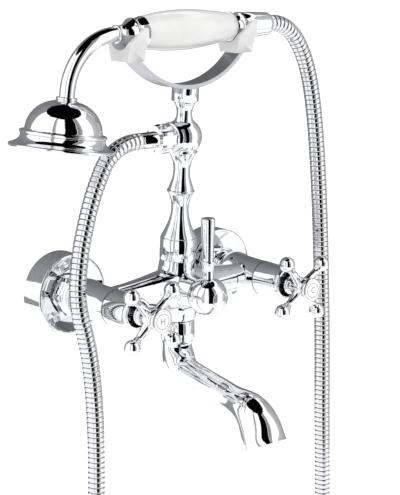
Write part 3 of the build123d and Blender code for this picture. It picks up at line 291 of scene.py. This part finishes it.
@dataclass(frozen=True)
class Moulded(Finish):
    """Moulded plastic or rubber: even colour with a fine spark-eroded grain."""

    tone: str = "#dcdcdb"
    shade: str = "#d4d4d3"
    roughness: float = 0.4
    grain_mm: float = 0.25
    grain_depth: float = 0.00001

    def build(self) -> bpy.types.Material:
        """Make the moulded material."""
        material, tree, shader, coords = self.start()
        grain = add_node(tree, "ShaderNodeTexNoise", Vector=coords.outputs["Object"],
                         Scale=1 / (self.grain_mm * MM), Detail=2.0)
        cloud = add_node(tree, "ShaderNodeTexNoise", Vector=coords.outputs["Object"], Scale=80.0, Detail=2.0)
        tree.links.new(ramp(tree, cloud.outputs["Fac"], 0.35, 0.65, self.shade, self.tone),
                       shader.inputs["Base Color"])
        tree.links.new(spread(tree, grain.outputs["Fac"], self.roughness * 0.85, self.roughness * 1.15),
                       shader.inputs["Roughness"])
        bump = add_node(tree, "ShaderNodeBump", Height=grain.outputs["Fac"], Distance=self.grain_depth)
        tree.links.new(bump.outputs["Normal"], shader.inputs["Normal"])
        return material


@dataclass(frozen=True)
class Turned(Finish):
    """Bare metal off the lathe: fine tool rings around the axis soften the reflections."""

    tone: str = "#d8b878"
    shade: str = "#b8924e"
    roughness: float = 0.3
    ring_mm: float = 0.5

    def build(self) -> bpy.types.Material:
        """Make the turned metal."""
        material, tree, shader, coords = self.start()
        rings = add_node(tree, "ShaderNodeTexWave", {"bands_direction": "Y"}, Vector=coords.outputs["Object"],
                         Scale=1 / (self.ring_mm * MM * 2 * math.pi), Distortion=0.4)
        tarnish = add_node(tree, "ShaderNodeTexNoise", Vector=coords.outputs["Object"], Scale=90.0, Detail=3.0)
        tree.links.new(ramp(tree, tarnish.outputs["Fac"], 0.3, 0.7, self.shade, self.tone),
                       shader.inputs["Base Color"])
        tree.links.new(spread(tree, rings.outputs["Fac"], self.roughness * 0.8, self.roughness * 1.2),
                       shader.inputs["Roughness"])
        bump = add_node(tree, "ShaderNodeBump", Height=rings.outputs["Fac"], Distance=0.00001)
        tree.links.new(bump.outputs["Normal"], shader.inputs["Normal"])
        shader.inputs["Metallic"].default_value = 1.0
        return material


class FinishName(Enum):
    """The finishes that the mixer's pieces choose from."""

    # Bright mirror of the body, handles, riser, spout and shower head.
    CHROME = PlatedChrome("chrome_plated_brass", "polished_chrome")
    # Soft grey sheen of the cradle's pressed band.
    SATIN = SatinChrome("satin_chrome_strip", "satin_chrome")
    # Bright crowns of the hose, with painted shade in its dark grooves.
    HOSE = HoseSteel("interlocked_hose_steel", "hose_steel")
    # Deep wet gloss of the grip over a milky white.
    PORCELAIN = Glaze("glazed_porcelain", "glazed_ceramic")
    # Soft half-matte white of the two cradle hooks.
    HOOK = Moulded("white_acetal", "hook_white", roughness=0.38)
    # Glossy white button in each handle.
    ENAMEL = Moulded("white_index_enamel", "index_white", tone="#f2f2f1", shade="#ebebea", roughness=0.18)
    # Cool silver of the valve parts seen inside the bonnets.
    NICKEL = Turned("nickel_plated_brass", "raw_brass", tone="#a8a8a7", shade="#838382", roughness=0.16)
    # Near black, dull print of the index letters.
    INK = Moulded("dark_index_ink", "index_white", tone="#26282b", shade="#1d1f21", roughness=0.35)
    # Dull black of seals and spray nozzles.
    RUBBER = Moulded("black_epdm_rubber", "seal_rubber", tone="#1c1c1d", shade="#141415", roughness=0.6)
    # Dusty red of the pressed fibre seals.
    FIBRE = Moulded("red_vulcanised_fibre", "fibre_seal", tone="#8a3a2a", shade="#74301f", roughness=0.7)
    # Ivory white of the lapped valve discs.
    ALUMINA = Moulded("lapped_alumina", "alumina", tone="#efece2", shade="#e4e0d4", roughness=0.15)
    # Waxy off-white of the check valve and aerator.
    ACETAL = Moulded("natural_acetal", "valve_plastic", tone="#dedcd2", shade="#d2d0c6", roughness=0.45)
    # Warm yellow tool rings of the unplated brass inside.
    BRASS = Turned("turned_brass", "raw_brass")
    # Bluish grey of the small screws.
    ZINC = Turned("zinc_plated_steel", "zinc_screw", tone="#b9bcc0", shade="#9a9da2", roughness=0.35)


MATERIALS: dict[FinishName, bpy.types.Material] = {}


def material_of(finish: FinishName) -> bpy.types.Material:
    """The finish's material, made the first time it is asked for."""
    if finish not in MATERIALS:
        MATERIALS[finish] = finish.value.build()
    return MATERIALS[finish]


SLOT_FINISH = {
    "polished_chrome": FinishName.CHROME,
    "satin_chrome": FinishName.SATIN,
    "hose_steel": FinishName.HOSE,
    "glazed_ceramic": FinishName.PORCELAIN,
    "hook_white": FinishName.HOOK,
    "index_white": FinishName.ENAMEL,
    "seal_rubber": FinishName.RUBBER,
    "fibre_seal": FinishName.FIBRE,
    "alumina": FinishName.ALUMINA,
    "valve_plastic": FinishName.ACETAL,
    "raw_brass": FinishName.BRASS,
    "zinc_screw": FinishName.ZINC,
}


# --- piece helpers -----------------------------------------------------------------------
def finish_piece(obj: bpy.types.Object, finish: FinishName, body: str,
                 stands_for: Sequence[str] = ()) -> bpy.types.Object:
    """Dress a finished piece and hand it to the frame.

    Args:
        obj: the piece, with its place in its mesh.
        finish: what it is made of.
        body: CAD body that it rides on.
        stands_for: CAD nodes that it replaces.

    Returns:
        The same object.
    """
    if not obj.data.materials:
        obj.data.materials.append(material_of(finish))
    if body:
        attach(obj, body)
    if stands_for:
        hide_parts(*stands_for)
    LOG.info("%s: %d faces on %s", obj.name, len(obj.data.polygons), body)
    return obj


def new_object(name: str, mesh: bpy.types.Mesh) -> bpy.types.Object:
    """Link a new object with this mesh to the scene."""
    obj = bpy.data.objects.new(name, mesh)
    bpy.context.scene.collection.objects.link(obj)
    return obj


def welded_copy(node: str, name: str, crease: float = 35.0) -> bpy.types.Object:
    """Copy a CAD node's mesh with its corners joined and its curved faces smooth.

    Args:
        node: CAD node to copy.
        name: the new object's name.
        crease: angle in degrees past which an edge stays sharp.

    Returns:
        The new object.
    """
    mesh = frame["nodes"][node].data.copy()
    mesh.materials.clear()
    work = bmesh.new()
    work.from_mesh(mesh)
    bmesh.ops.remove_doubles(work, verts=work.verts, dist=0.001 * MM)
    work.to_mesh(mesh)
    work.free()
    mesh.shade_smooth()
    mesh.set_sharp_from_angle(angle=math.radians(crease))
    return new_object(name, mesh)


@dataclass
class Hose:
    """The hose: a route through listed points and the ribbed tube that follows it.

    Attributes:
        outer_r: radius over the ribs in mm.
        pitch: length of one rib in mm.
        groove_depth: depth of the groove between two ribs in mm.
        crown_half: share of a rib, from its middle, that stays at full radius.
        groove_half: share of a rib, from its middle, where the groove is deepest.
        length: real length in metres; not used.
        rings_per_pitch: sections that shape one rib.
        sides: steps round the hose.
        blend_from_x: X in mm where the hose was meant to stop riding on the mixer alone; not used.
        blend_to_x: X in mm from which it was meant to ride on the hand shower alone; not used.
        route: control points in mm, from the riser's tee to the hand shower.
    """

    outer_r: float = 6.5
    pitch: float = 4.0
    groove_depth: float = 0.6
    crown_half: float = 0.36
    groove_half: float = 0.49
    length: float = 1.49
    rings_per_pitch: int = 12
    sides: int = 20
    blend_from_x: float = -20.0
    blend_to_x: float = 80.0
    route: list[tuple[float, float, float]] = field(default_factory=lambda: [
        (-43.0, -63.54, 128.23), (-49.8, -63.54, 128.23), (-57.0, -63.5, 126.9), (-64.2, -63.5, 124.1),
        (-70.6, -63.5, 119.6), (-76.1, -63.5, 113.4), (-81.2, -63.8, 104.0), (-87.4, -64.4, 92.0),
        (-94.0, -65.2, 74.5), (-101.8, -66.5, 49.0), (-105.8, -67.6, 15.0), (-96.0, -68.0, -19.0),
        (-91.2, -68.0, -56.0), (-89.6, -68.0, -106.0), (-91.0, -68.0, -166.0), (-92.0, -68.0, -232.0),
        (-90.0, -67.5, -302.0), (-81.0, -66.5, -367.0), (-61.0, -65.5, -424.0), (-30.0, -64.8, -467.0),
        (8.0, -64.5, -492.0), (33.0, -64.5, -492.0), (58.0, -64.5, -492.0), (97.0, -64.6, -467.0),
        (128.0, -64.7, -424.0), (146.0, -64.8, -367.0), (153.0, -65.0, -306.0), (154.0, -65.0, -243.0),
        (152.6, -65.0, -180.0), (151.0, -65.0, -118.0), (150.0, -65.0, -58.0), (147.8, -65.0, 2.0),
        (144.4, -65.0, 62.0), (140.2, -65.0, 110.0), (135.9, -65.0, 141.0), (131.4, -65.2, 162.0),
        (126.6, -65.3, 176.0), (121.6, -65.5, 186.2), (116.6, -65.5, 193.8), (111.4, -65.5, 200.0),
        (105.4, -65.5, 204.8), (98.6, -65.5, 208.0), (91.3, -65.5, 209.5), (84.0, -65.5, 209.5),
    ])

    def centreline(self) -> list[Vector]:
        """Points along the smooth route, read from its NURBS spline."""
        curve = bpy.data.curves.new("hose_route", "CURVE")
        curve.dimensions = "3D"
        curve.resolution_u = 24
        spline = curve.splines.new("NURBS")
        spline.points.add(len(self.route) - 1)
        for point, place in zip(spline.points, self.route):
            point.co = (place[0] * MM, place[1] * MM, place[2] * MM, 1.0)
        spline.order_u = 3
        spline.use_endpoint_u = True
        guide = new_object("hose_route", curve)
        bpy.context.view_layer.update()
        line = bpy.data.meshes.new_from_object(guide)
        points = [v.co.copy() for v in line.vertices]
        bpy.data.objects.remove(guide)
        bpy.data.meshes.remove(line)
        return points

    def rib_tree(self) -> bpy.types.NodeTree:
        """Node tree that sweeps a ribbed round section along a line of edges."""
        tree = bpy.data.node_groups.new("hose_ribs", "GeometryNodeTree")
        face = tree.interface
        face.new_socket("Geometry", in_out="INPUT", socket_type="NodeSocketGeometry")
        for label in ("Outer Radius", "Rib Pitch", "Groove Depth", "Ring Step"):
            face.new_socket(label, in_out="INPUT", socket_type="NodeSocketFloat")
        face.new_socket("Sides", in_out="INPUT", socket_type="NodeSocketInt")
        face.new_socket("Finish", in_out="INPUT", socket_type="NodeSocketMaterial")
        face.new_socket("Geometry", in_out="OUTPUT", socket_type="NodeSocketGeometry")
        given = add_node(tree, "NodeGroupInput").outputs
        line = add_node(tree, "GeometryNodeMeshToCurve", Mesh=given["Geometry"])
        even = add_node(tree, "GeometryNodeResampleCurve", {"mode": "LENGTH"}, Curve=line.outputs["Curve"],
                        Length=given["Ring Step"])
        along = add_node(tree, "GeometryNodeSplineParameter").outputs["Length"]
        turns = add_node(tree, "ShaderNodeMath", {"operation": "DIVIDE"}, in_0=along, in_1=given["Rib Pitch"])
        phase = add_node(tree, "ShaderNodeMath", {"operation": "FRACT"}, in_0=turns.outputs[0])
        centred = add_node(tree, "ShaderNodeMath", {"operation": "SUBTRACT"}, in_0=phase.outputs[0], in_1=0.5)
        off = add_node(tree, "ShaderNodeMath", {"operation": "ABSOLUTE"}, in_0=centred.outputs[0])
        edge = add_node(tree, "ShaderNodeMapRange", {"interpolation_type": "SMOOTHSTEP"}, in_0=off.outputs[0],
                        in_1=self.crown_half, in_2=self.groove_half)
        dip = add_node(tree, "ShaderNodeMath", {"operation": "MULTIPLY"}, in_0=edge.outputs[0],
                       in_1=given["Groove Depth"])
        radius = add_node(tree, "ShaderNodeMath", {"operation": "SUBTRACT"}, in_0=given["Outer Radius"],
                          in_1=dip.outputs[0])
        # store how far each ring lies into a groove; the hose material paints shade there
        marked = add_node(tree, "GeometryNodeStoreNamedAttribute", {"data_type": "FLOAT", "domain": "POINT"},
                          Geometry=even.outputs["Curve"], Name="groove", Value=edge.outputs[0])
        sized = add_node(tree, "GeometryNodeSetCurveRadius", Curve=marked.outputs[0], Radius=radius.outputs[0])
        ring = add_node(tree, "GeometryNodeCurvePrimitiveCircle", Resolution=given["Sides"], Radius=1.0)
        swept = add_node(tree, "GeometryNodeCurveToMesh", Curve=sized.outputs[0],
                         Profile_Curve=ring.outputs["Curve"], Fill_Caps=True)
        if "Scale" in swept.inputs:    # newer versions scale the profile here, not by the curve's radius
            tree.links.new(radius.outputs[0], swept.inputs["Scale"])
        smooth = add_node(tree, "GeometryNodeSetShadeSmooth", in_0=swept.outputs[0])
        real = add_node(tree, "GeometryNodeRealizeInstances", in_0=smooth.outputs[0])
        dressed = add_node(tree, "GeometryNodeSetMaterial", Geometry=real.outputs[0], Material=given["Finish"])
        add_node(tree, "NodeGroupOutput", Geometry=dressed.outputs[0])
        return tree

    def build(self) -> None:
        points = self.centreline()
        line = bpy.data.meshes.new("hose_line")
        line.from_pydata([p[:] for p in points], [(i, i + 1) for i in range(len(points) - 1)], [])
        values = {"Outer Radius": self.outer_r * MM, "Rib Pitch": self.pitch * MM,
                  "Groove Depth": self.groove_depth * MM, "Ring Step": self.pitch * MM / self.rings_per_pitch,
                  "Sides": self.sides, "Finish": material_of(FinishName.HOSE)}
        hose = grown_mesh("hose", line, self.rib_tree(), values)
        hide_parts("hose_lower", "hose_upper")
        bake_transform(hose)
        LOG.info("hose: %d faces", len(hose.data.polygons))


def grown_mesh(name: str, base: bpy.types.Mesh, tree: bpy.types.NodeTree,
               values: dict[str, object]) -> bpy.types.Object:
    """Run a geometry node tree on a base mesh and keep the plain result.

    Args:
        name: the new object's name.
        base: mesh that the tree works on.
        tree: geometry node tree.
        values: value of each named input.

    Returns:
        An object whose mesh is the tree's result, with no modifier left.
    """
    carrier = new_object(name + "_base", base)
    modifier = carrier.modifiers.new("grow", "NODES")
    modifier.node_group = tree
    for item in tree.interface.items_tree:
        if item.item_type == "SOCKET" and item.in_out == "INPUT" and item.name in values:
            modifier[item.identifier] = values[item.name]
    bpy.context.view_layer.update()
    graph = bpy.context.evaluated_depsgraph_get()
    mesh = bpy.data.meshes.new_from_object(carrier.evaluated_get(graph))
    mesh.name = name
    carrier.modifiers.remove(modifier)
    bpy.data.objects.remove(carrier)
    return new_object(name, mesh)


# --- studio --------------------------------------------------------------------------------
@dataclass(frozen=True)
class Panel:
    """A curved panel of the light tent, seen only in reflections.

    Attributes:
        name: the panel's name.
        turn: its first and last bearing in degrees, to the right of the camera's own bearing.
        tilt: its lowest and highest elevation in degrees.
        radius: distance from the mixer in metres.
        first: colour at the first bearing.
        last: colour at the last bearing.
    """

    name: str
    turn: tuple[float, float]
    tilt: tuple[float, float]
    radius: float
    first: str
    last: str

    def place(self, bearing: float, elevation: float, centre: Vector, heading: float) -> Vector:
        """Point of the panel at a bearing and an elevation."""
        around = math.radians(heading + bearing)
        up = math.radians(elevation)
        flat = self.radius * math.cos(up)
        return centre + Vector((math.sin(around) * flat, -math.cos(around) * flat, self.radius * math.sin(up)))

    def build(self, centre: Vector, heading: float) -> None:
        """Make the panel as a glowing patch of a sphere, shaded from one side to the other.

        Args:
            centre: middle of the tent.
            heading: bearing of the camera in degrees.
        """
        across = max(2, round((self.turn[1] - self.turn[0]) / 5))
        high = max(2, round((self.tilt[1] - self.tilt[0]) / 5))
        steps = [(i / across, j / high) for i in range(across + 1) for j in range(high + 1)]
        corners = [
            self.place(self.turn[0] + (self.turn[1] - self.turn[0]) * u,
                       self.tilt[0] + (self.tilt[1] - self.tilt[0]) * v, centre, heading)[:]
            for u, v in steps
        ]
        row = high + 1
        faces = [(i * row + j, i * row + j + 1, (i + 1) * row + j + 1, (i + 1) * row + j)
                 for i in range(across) for j in range(high)]
        mesh = bpy.data.meshes.new(self.name)
        mesh.from_pydata(corners, [], faces)
        fade = mesh.attributes.new("fade", "FLOAT", "POINT")
        for spot, (u, _) in zip(fade.data, steps):
            spot.value = u
        material = bpy.data.materials.new(self.name)
        material.use_nodes = True
        tree = material.node_tree
        tree.nodes.clear()
        share = add_node(tree, "ShaderNodeAttribute", {"attribute_name": "fade"})
        glow = add_node(tree, "ShaderNodeEmission", Strength=1.0,
                        Color=ramp(tree, share.outputs["Fac"], 0.0, 1.0, self.first, self.last))
        add_node(tree, "ShaderNodeOutputMaterial", Surface=glow.outputs[0])
        mesh.materials.append(material)
        panel = new_object(self.name, mesh)
        panel.visible_camera = False
        panel.visible_diffuse = False
        panel.visible_shadow = False


@dataclass
class Studio:
    """Pale floor, white tent with dark panels, and the camera.

    Attributes:
        eye: where the camera stands.
        aim: what it looks at.
        lens: focal length in mm.
        floor_z: height of the floor.
        floor_reach: half the width of the floor.
        view_azimuth: bearing of the camera in degrees.
        middle: centre of the tent.
        tent_glow: brightness of the white tent.
        panels: grey and black panels that give the chrome its dark streaks.
    """

    eye: tuple[float, float, float] = (-0.8374, -1.0674, 0.3213)
    aim: tuple[float, float, float] = (0.0529, -0.0210, 0.0273)
    lens: float = 125.89
    floor_z: float = -0.56
    floor_reach: float = 8.0
    view_azimuth: float = -40.39
    middle: tuple[float, float, float] = (0.0, -0.06, 0.05)
    tent_glow: float = 1.25
    panels: tuple[Panel, ...] = (
        Panel("grey_left", (-186.0, -103.0), (-72.0, 57.0), 1.5, "#6a6d70", "#9b9ea2"),
        Panel("thin_line", (-29.0, -20.0), (-40.0, 60.0), 1.5, "#8d8e90", "#c9cacb"),
        Panel("black_bar", (5.0, 41.0), (-46.0, 60.0), 1.2, "#020202", "#060606"),
        Panel("grey_bar", (43.0, 58.0), (-50.0, 60.0), 1.3, "#77787a", "#b4b5b6"),
        Panel("grey_right", (100.0, 174.0), (-60.0, 45.0), 1.5, "#d2d3d4", "#7c7e81"),
        Panel("black_roof", (0.0, 360.0), (57.0, 90.0), 1.25, "#050505", "#050505"),
    )

    def camera(self) -> None:
        """Place the camera."""
        data = bpy.data.cameras.new("studio_camera")
        data.lens = self.lens
        data.sensor_width = 36.0
        data.clip_end = 60.0
        camera = bpy.data.objects.new("studio_camera", data)
        bpy.context.scene.collection.objects.link(camera)
        camera.location = self.eye
        camera.rotation_euler = (Vector(self.aim) - Vector(self.eye)).to_track_quat("-Z", "Y").to_euler()
        bpy.context.scene.camera = camera

    def world(self) -> None:
        """White tent all round."""
        world = bpy.data.worlds.new("white_tent")
        world.use_nodes = True
        tree = world.node_tree
        tree.nodes.clear()
        glow = add_node(tree, "ShaderNodeBackground", Color=(1.0, 1.0, 1.0, 1.0), Strength=self.tent_glow)
        add_node(tree, "ShaderNodeOutputWorld", Surface=glow.outputs[0])
        bpy.context.scene.world = world

    def floor(self) -> None:
        """Pale matte floor well under the hose."""
        mesh = bpy.data.meshes.new("pale_floor")
        reach = self.floor_reach
        corners = [(x * reach, y * reach, self.floor_z) for x, y in ((-1, -1), (1, -1), (1, 1), (-1, 1))]
        mesh.from_pydata(corners, [], [(0, 1, 2, 3)])
        floor = new_object("pale_floor", mesh)
        material = bpy.data.materials.new("pale_painted_floor")
        material.use_nodes = True
        shader = material.node_tree.nodes["Principled BSDF"]
        shader.inputs["Base Color"].default_value = linear("#fafafa")
        shader.inputs["Roughness"].default_value = 0.9
        mesh.materials.append(material)

    def build(self) -> None:
        """Set up camera, tent, floor and panels."""
        self.camera()
        self.world()
        self.floor()
        for panel in self.panels:
            panel.build(Vector(self.middle), self.view_azimuth)
        bpy.context.scene.view_settings.view_transform = "Standard"


def instance_tree(name: str) -> bpy.types.NodeTree:
    """Node tree that sets one small mesh on every point of a base mesh, all the same way round."""
    tree = bpy.data.node_groups.new(name, "GeometryNodeTree")
    face = tree.interface
    face.new_socket("Geometry", in_out="INPUT", socket_type="NodeSocketGeometry")
    face.new_socket("Piece", in_out="INPUT", socket_type="NodeSocketObject")
    face.new_socket("Turn", in_out="INPUT", socket_type="NodeSocketVector")
    face.new_socket("Finish", in_out="INPUT", socket_type="NodeSocketMaterial")
    face.new_socket("Geometry", in_out="OUTPUT", socket_type="NodeSocketGeometry")
    given = add_node(tree, "NodeGroupInput").outputs
    piece = add_node(tree, "GeometryNodeObjectInfo", Object=given["Piece"])
    placed = add_node(tree, "GeometryNodeInstanceOnPoints", Points=given["Geometry"],
                      Instance=piece.outputs["Geometry"], Rotation=given["Turn"])
    real = add_node(tree, "GeometryNodeRealizeInstances", in_0=placed.outputs[0])
    smooth = add_node(tree, "GeometryNodeSetShadeSmooth", in_0=real.outputs[0])
    dressed = add_node(tree, "GeometryNodeSetMaterial", Geometry=smooth.outputs[0], Material=given["Finish"])
    add_node(tree, "NodeGroupOutput", Geometry=dressed.outputs[0])
    return tree


def turned_mesh(name: str, outline: Sequence[tuple[float, float]], sides: int) -> bpy.types.Mesh:
    """Turn a closed outline of (radius, height) in millimetres about Z.

    Args:
        name: the mesh's name.
        outline: corners of the outline, anticlockwise, all off the axis.
        sides: how many steps go round.

    Returns:
        A closed mesh.
    """
    count = len(outline)
    places = []
    for i in range(sides):
        turn = 2 * math.pi * i / sides
        places += [(r * MM * math.cos(turn), r * MM * math.sin(turn), h * MM) for r, h in outline]
    faces = [(i * count + j, (i + 1) % sides * count + j, (i + 1) % sides * count + (j + 1) % count,
              i * count + (j + 1) % count) for i in range(sides) for j in range(count)]
    mesh = bpy.data.meshes.new(name)
    mesh.from_pydata(places, [], faces)
    work = bmesh.new()
    work.from_mesh(mesh)
    bmesh.ops.recalc_face_normals(work, faces=work.faces)
    work.to_mesh(mesh)
    work.free()
    return mesh


def set_out(name: str, part: bpy.types.Mesh, places: Sequence[Vector], turn: tuple[float, float, float],
            finish: FinishName) -> bpy.types.Object:
    """Repeat a small part at many places and keep the result as one plain mesh.

    Args:
        name: the new object's name.
        part: mesh of one part.
        places: where each copy goes, in metres.
        turn: rotation of every copy in radians.
        finish: what the parts are made of.

    Returns:
        The object that holds every copy.
    """
    pattern = new_object(name + "_part", part)
    base = bpy.data.meshes.new(name + "_places")
    base.from_pydata([place[:] for place in places], [], [])
    values = {"Piece": pattern, "Turn": turn, "Finish": material_of(finish)}
    made = grown_mesh(name, base, instance_tree(name + "_layout"), values)
    bpy.data.objects.remove(pattern)
    return made


@dataclass
class SubAssembly:
    """A group of CAD pieces that belong together, with the details drawn on them.

    Attributes:
        title: name used in the log.
        nodes: CAD nodes of the group.
        finishes: nodes whose look differs from their material slot's usual one.
    """

    title: str
    nodes: tuple[str, ...]
    finishes: dict[str, FinishName] = field(default_factory=dict)

    def dress(self, slots: dict[str, str], body_of: dict[str, str]) -> None:
        """Stand a smooth welded copy in for each CAD piece, then add the details.

        Args:
            slots: material slot of each node.
            body_of: moving body of each node.
        """
        LOG.info("%s", self.title)
        for node in self.nodes:
            finish = self.finishes.get(node, SLOT_FINISH[slots[node]])
            finish_piece(welded_copy(node, node + "_fine"), finish, body_of[node], [node])
        self.details(body_of)

    def details(self, body_of: dict[str, str]) -> None:
        """Add what the CAD pieces leave out. The plain group has nothing to add."""


@dataclass
class SideValve(SubAssembly):
    """Wall connection, valve and cross handle of one supply.

    Attributes:
        side: hot or cold.
        across: X of the valve's axis in mm.
        letter: index letter on the handle's button.
        axis_up: height of the valve's axis in mm.
        face_forward: front of the button in mm from the wall.
        letter_high: height of the letter in mm.
        ring_r: radius of the ring round the letter in mm.
        thread_r: radius of the wall thread in mm.
        thread_pitch: distance from crest to crest in mm.
        thread_turns: number of crests.
        thread_from: first crest behind the finished wall in mm.
    """

    title: str = "side valve"
    nodes: tuple[str, ...] = ()
    side: str = "hot"
    across: float = -75.0
    letter: str = "H"
    axis_up: float = 8.0
    face_forward: float = 130.22
    letter_high: float = 4.7
    ring_r: float = 5.7
    thread_r: float = 10.48
    thread_pitch: float = 1.814
    thread_turns: int = 7
    thread_from: float = 1.2

    def __post_init__(self) -> None:
        """List the valve's pieces from its side."""
        self.title = self.side + " valve"
        kinds = ("s_union", "escutcheon", "union_nut", "fixed_disc", "turning_disc", "headwork", "spindle",
                 "bonnet", "handle", "handle_screw", "index_cap")
        self.nodes = tuple(self.side + "_" + kind for kind in kinds)
        self.finishes = {self.side + "_" + kind: FinishName.NICKEL for kind in ("headwork", "s_union", "spindle")}

    def details(self, body_of: dict[str, str]) -> None:
        """Draw the index mark and the wall thread."""
        self.index_letter(body_of)
        self.index_ring(body_of)
        self.wall_thread()

    def index_letter(self, body_of: dict[str, str]) -> None:
        """Thin raised letter in the middle of the button."""
        curve = bpy.data.curves.new(self.side + "_letter", "FONT")
        curve.body = self.letter
        curve.size = self.letter_high * MM / 0.7       # a capital is 0.7 of the font's size
        curve.align_x = "CENTER"
        curve.align_y = "CENTER"
        curve.extrude = 0.08 * MM
        curve.offset = -0.1 * MM
        curve.resolution_u = 6
        text = new_object(self.side + "_letter_text", curve)
        bpy.context.view_layer.update()
        mesh = bpy.data.meshes.new_from_object(text.evaluated_get(bpy.context.evaluated_depsgraph_get()))
        bpy.data.objects.remove(text)
        mesh.transform(Matrix.Translation((self.across * MM, -(self.face_forward + 0.1) * MM, self.axis_up * MM))
                       @ Matrix.Rotation(math.pi / 2, 4, "X"))
        mesh.materials.clear()
        finish_piece(new_object(self.side + "_index_letter", mesh), FinishName.INK,
                     body_of[self.side + "_index_cap"])

    def index_ring(self, body_of: dict[str, str]) -> None:
        """Fine dark ring round the letter."""
        r, foot, top = self.ring_r, 0.16, 0.12     # half widths of the ring's foot and top
        mesh = turned_mesh(self.side + "_index_ring",
                           [(r - foot, -0.3), (r + foot, -0.3), (r + top, 0.06), (r - top, 0.06)], 64)
        set_back = 0.08                            # the ring stands this far behind the button's face
        mesh.transform(Matrix.Translation((self.across * MM, -self.face_forward * MM + set_back * MM,
                                           self.axis_up * MM)) @ Matrix.Rotation(math.pi / 2, 4, "X"))
        finish_piece(new_object(self.side + "_index_ring", mesh), FinishName.INK,
                     body_of[self.side + "_index_cap"])

    def wall_thread(self) -> None:
        """Crests of the thread that goes into the wall fitting."""
        sunk, foot, top = self.thread_r - 0.3, self.thread_r + 0.02, self.thread_r + 0.42
        half_foot, half_top = self.thread_pitch * 0.42, 0.12
        crest = turned_mesh(self.side + "_crest",
                            [(sunk, -half_foot), (foot, -half_foot), (top, -half_top), (top, half_top),
                             (foot, half_foot), (sunk, half_foot)], 48)
        places = [Vector((self.across * MM, (self.thread_from + self.thread_pitch * i) * MM, 0))
                  for i in range(self.thread_turns)]
        thread = set_out(self.side + "_wall_thread", crest, places, (math.pi / 2, 0, 0), FinishName.NICKEL)
        finish_piece(thread, FinishName.NICKEL, "root")


@dataclass
class HandShower(SubAssembly):
    """Neck, head, ceramic grip and hose end of the hand shower.

    Attributes:
        axis: Y and Z of the grip's axis in mm.
        bend_r: radius of the neck's bend in mm.
        bend: angle of the neck's bend in degrees.
        neck_start: X in mm where the neck begins to bend.
        face_down: distance of the face plate down the head's axis in mm.
        jets: orbit radius in mm and number of nozzles of each ring.
    """

    title: str = "hand shower"
    nodes: tuple[str, ...] = (
        "neck_tube", "head_shell", "face_gasket", "spray_plate", "front_ferrule", "grip", "core_tube",
        "rear_ferrule", "check_valve", "cone_nut", "upper_hose_washer",
    )
    axis: tuple[float, float] = (-65.5, 209.5)
    bend_r: float = 44.0
    bend: float = 82.0
    neck_start: float = -66.0
    face_down: float = 41.8
    jets: tuple[tuple[float, int], ...] = ((8.0, 6), (16.0, 12), (24.0, 18), (31.0, 24))

    def head_place(self) -> Matrix:
        """Place whose Z runs down the head's axis from the end of the bend."""
        turn = math.radians(self.bend)
        across = self.neck_start - self.bend_r * math.sin(turn)
        up = self.axis[1] - self.bend_r * (1 - math.cos(turn))
        return (Matrix.Translation((across * MM, self.axis[0] * MM, up * MM))
                @ Matrix.Rotation(math.radians(270 - self.bend), 4, "Y"))

    def details(self, body_of: dict[str, str]) -> None:
        """Set the rubber nozzles in the face plate's holes."""
        bore, foot, tip, stand = 0.42, 1.35, 0.95, 0.5
        nozzle = turned_mesh("nozzle", [(bore, 0.0), (foot, 0.0), (foot - 0.05, 0.12), (tip, stand),
                                        (0.5, stand)], 12)
        head = self.head_place()
        places = []
        for orbit, count in self.jets:
            for i in range(count):
                turn = 2 * math.pi * i / count
                spot = (orbit * math.cos(turn) * MM, orbit * math.sin(turn) * MM, self.face_down * MM)
                places.append(head @ Vector(spot))
        turn = head.to_euler()
        made = set_out("spray_nozzles", nozzle, places, (turn.x, turn.y, turn.z), FinishName.RUBBER)
        finish_piece(made, FinishName.RUBBER, body_of["spray_plate"])


def assemblies() -> list[SubAssembly]:
    """Every sub-assembly in the order of building."""
    return [
        SubAssembly("casting", ("body", "union_washers", "seat_seals", "headwork_seals")),
        SideValve(side="hot", across=-75.0, letter="H"),
        SideValve(side="cold", across=75.0, letter="C"),
        SubAssembly("diverter", ("diverter_cartridge", "diverter_spindle", "diverter_knob", "diverter_cap",
                                 "diverter_lever")),
        SubAssembly("riser", ("riser_seal", "riser_collar", "riser_column", "cradle_nut", "lower_hose_nut",
                              "lower_hose_washer", "lower_hose_ferrule")),
        SubAssembly("cradle", ("cradle_band", "left_hook", "right_hook")),
        SubAssembly("spout", ("spout_nut", "spout", "spout_oring", "spout_retaining_ring", "aerator")),
        HandShower(),
    ]


def main() -> None:
    """Build the mixer's looks sub-assembly by sub-assembly."""
    logging.basicConfig(level=logging.INFO, format="%(name)s %(message)s")
    Studio().build()
    Hose().build()
    record = frame["record"]
    slots = {part["node"]: part["material_slot"] for part in record["subparts"]}
    body_of = {node: body for body, nodes in record["behaviour"]["bodies"].items() for node in nodes}
    for node in ("hose_lower", "hose_upper"):
        frame["nodes"][node].data.materials.clear()
        frame["nodes"][node].data.materials.append(material_of(FinishName.HOSE))
    for assembly in assemblies():
        assembly.dress(slots, body_of)


if __name__ == "__main__":
    main()
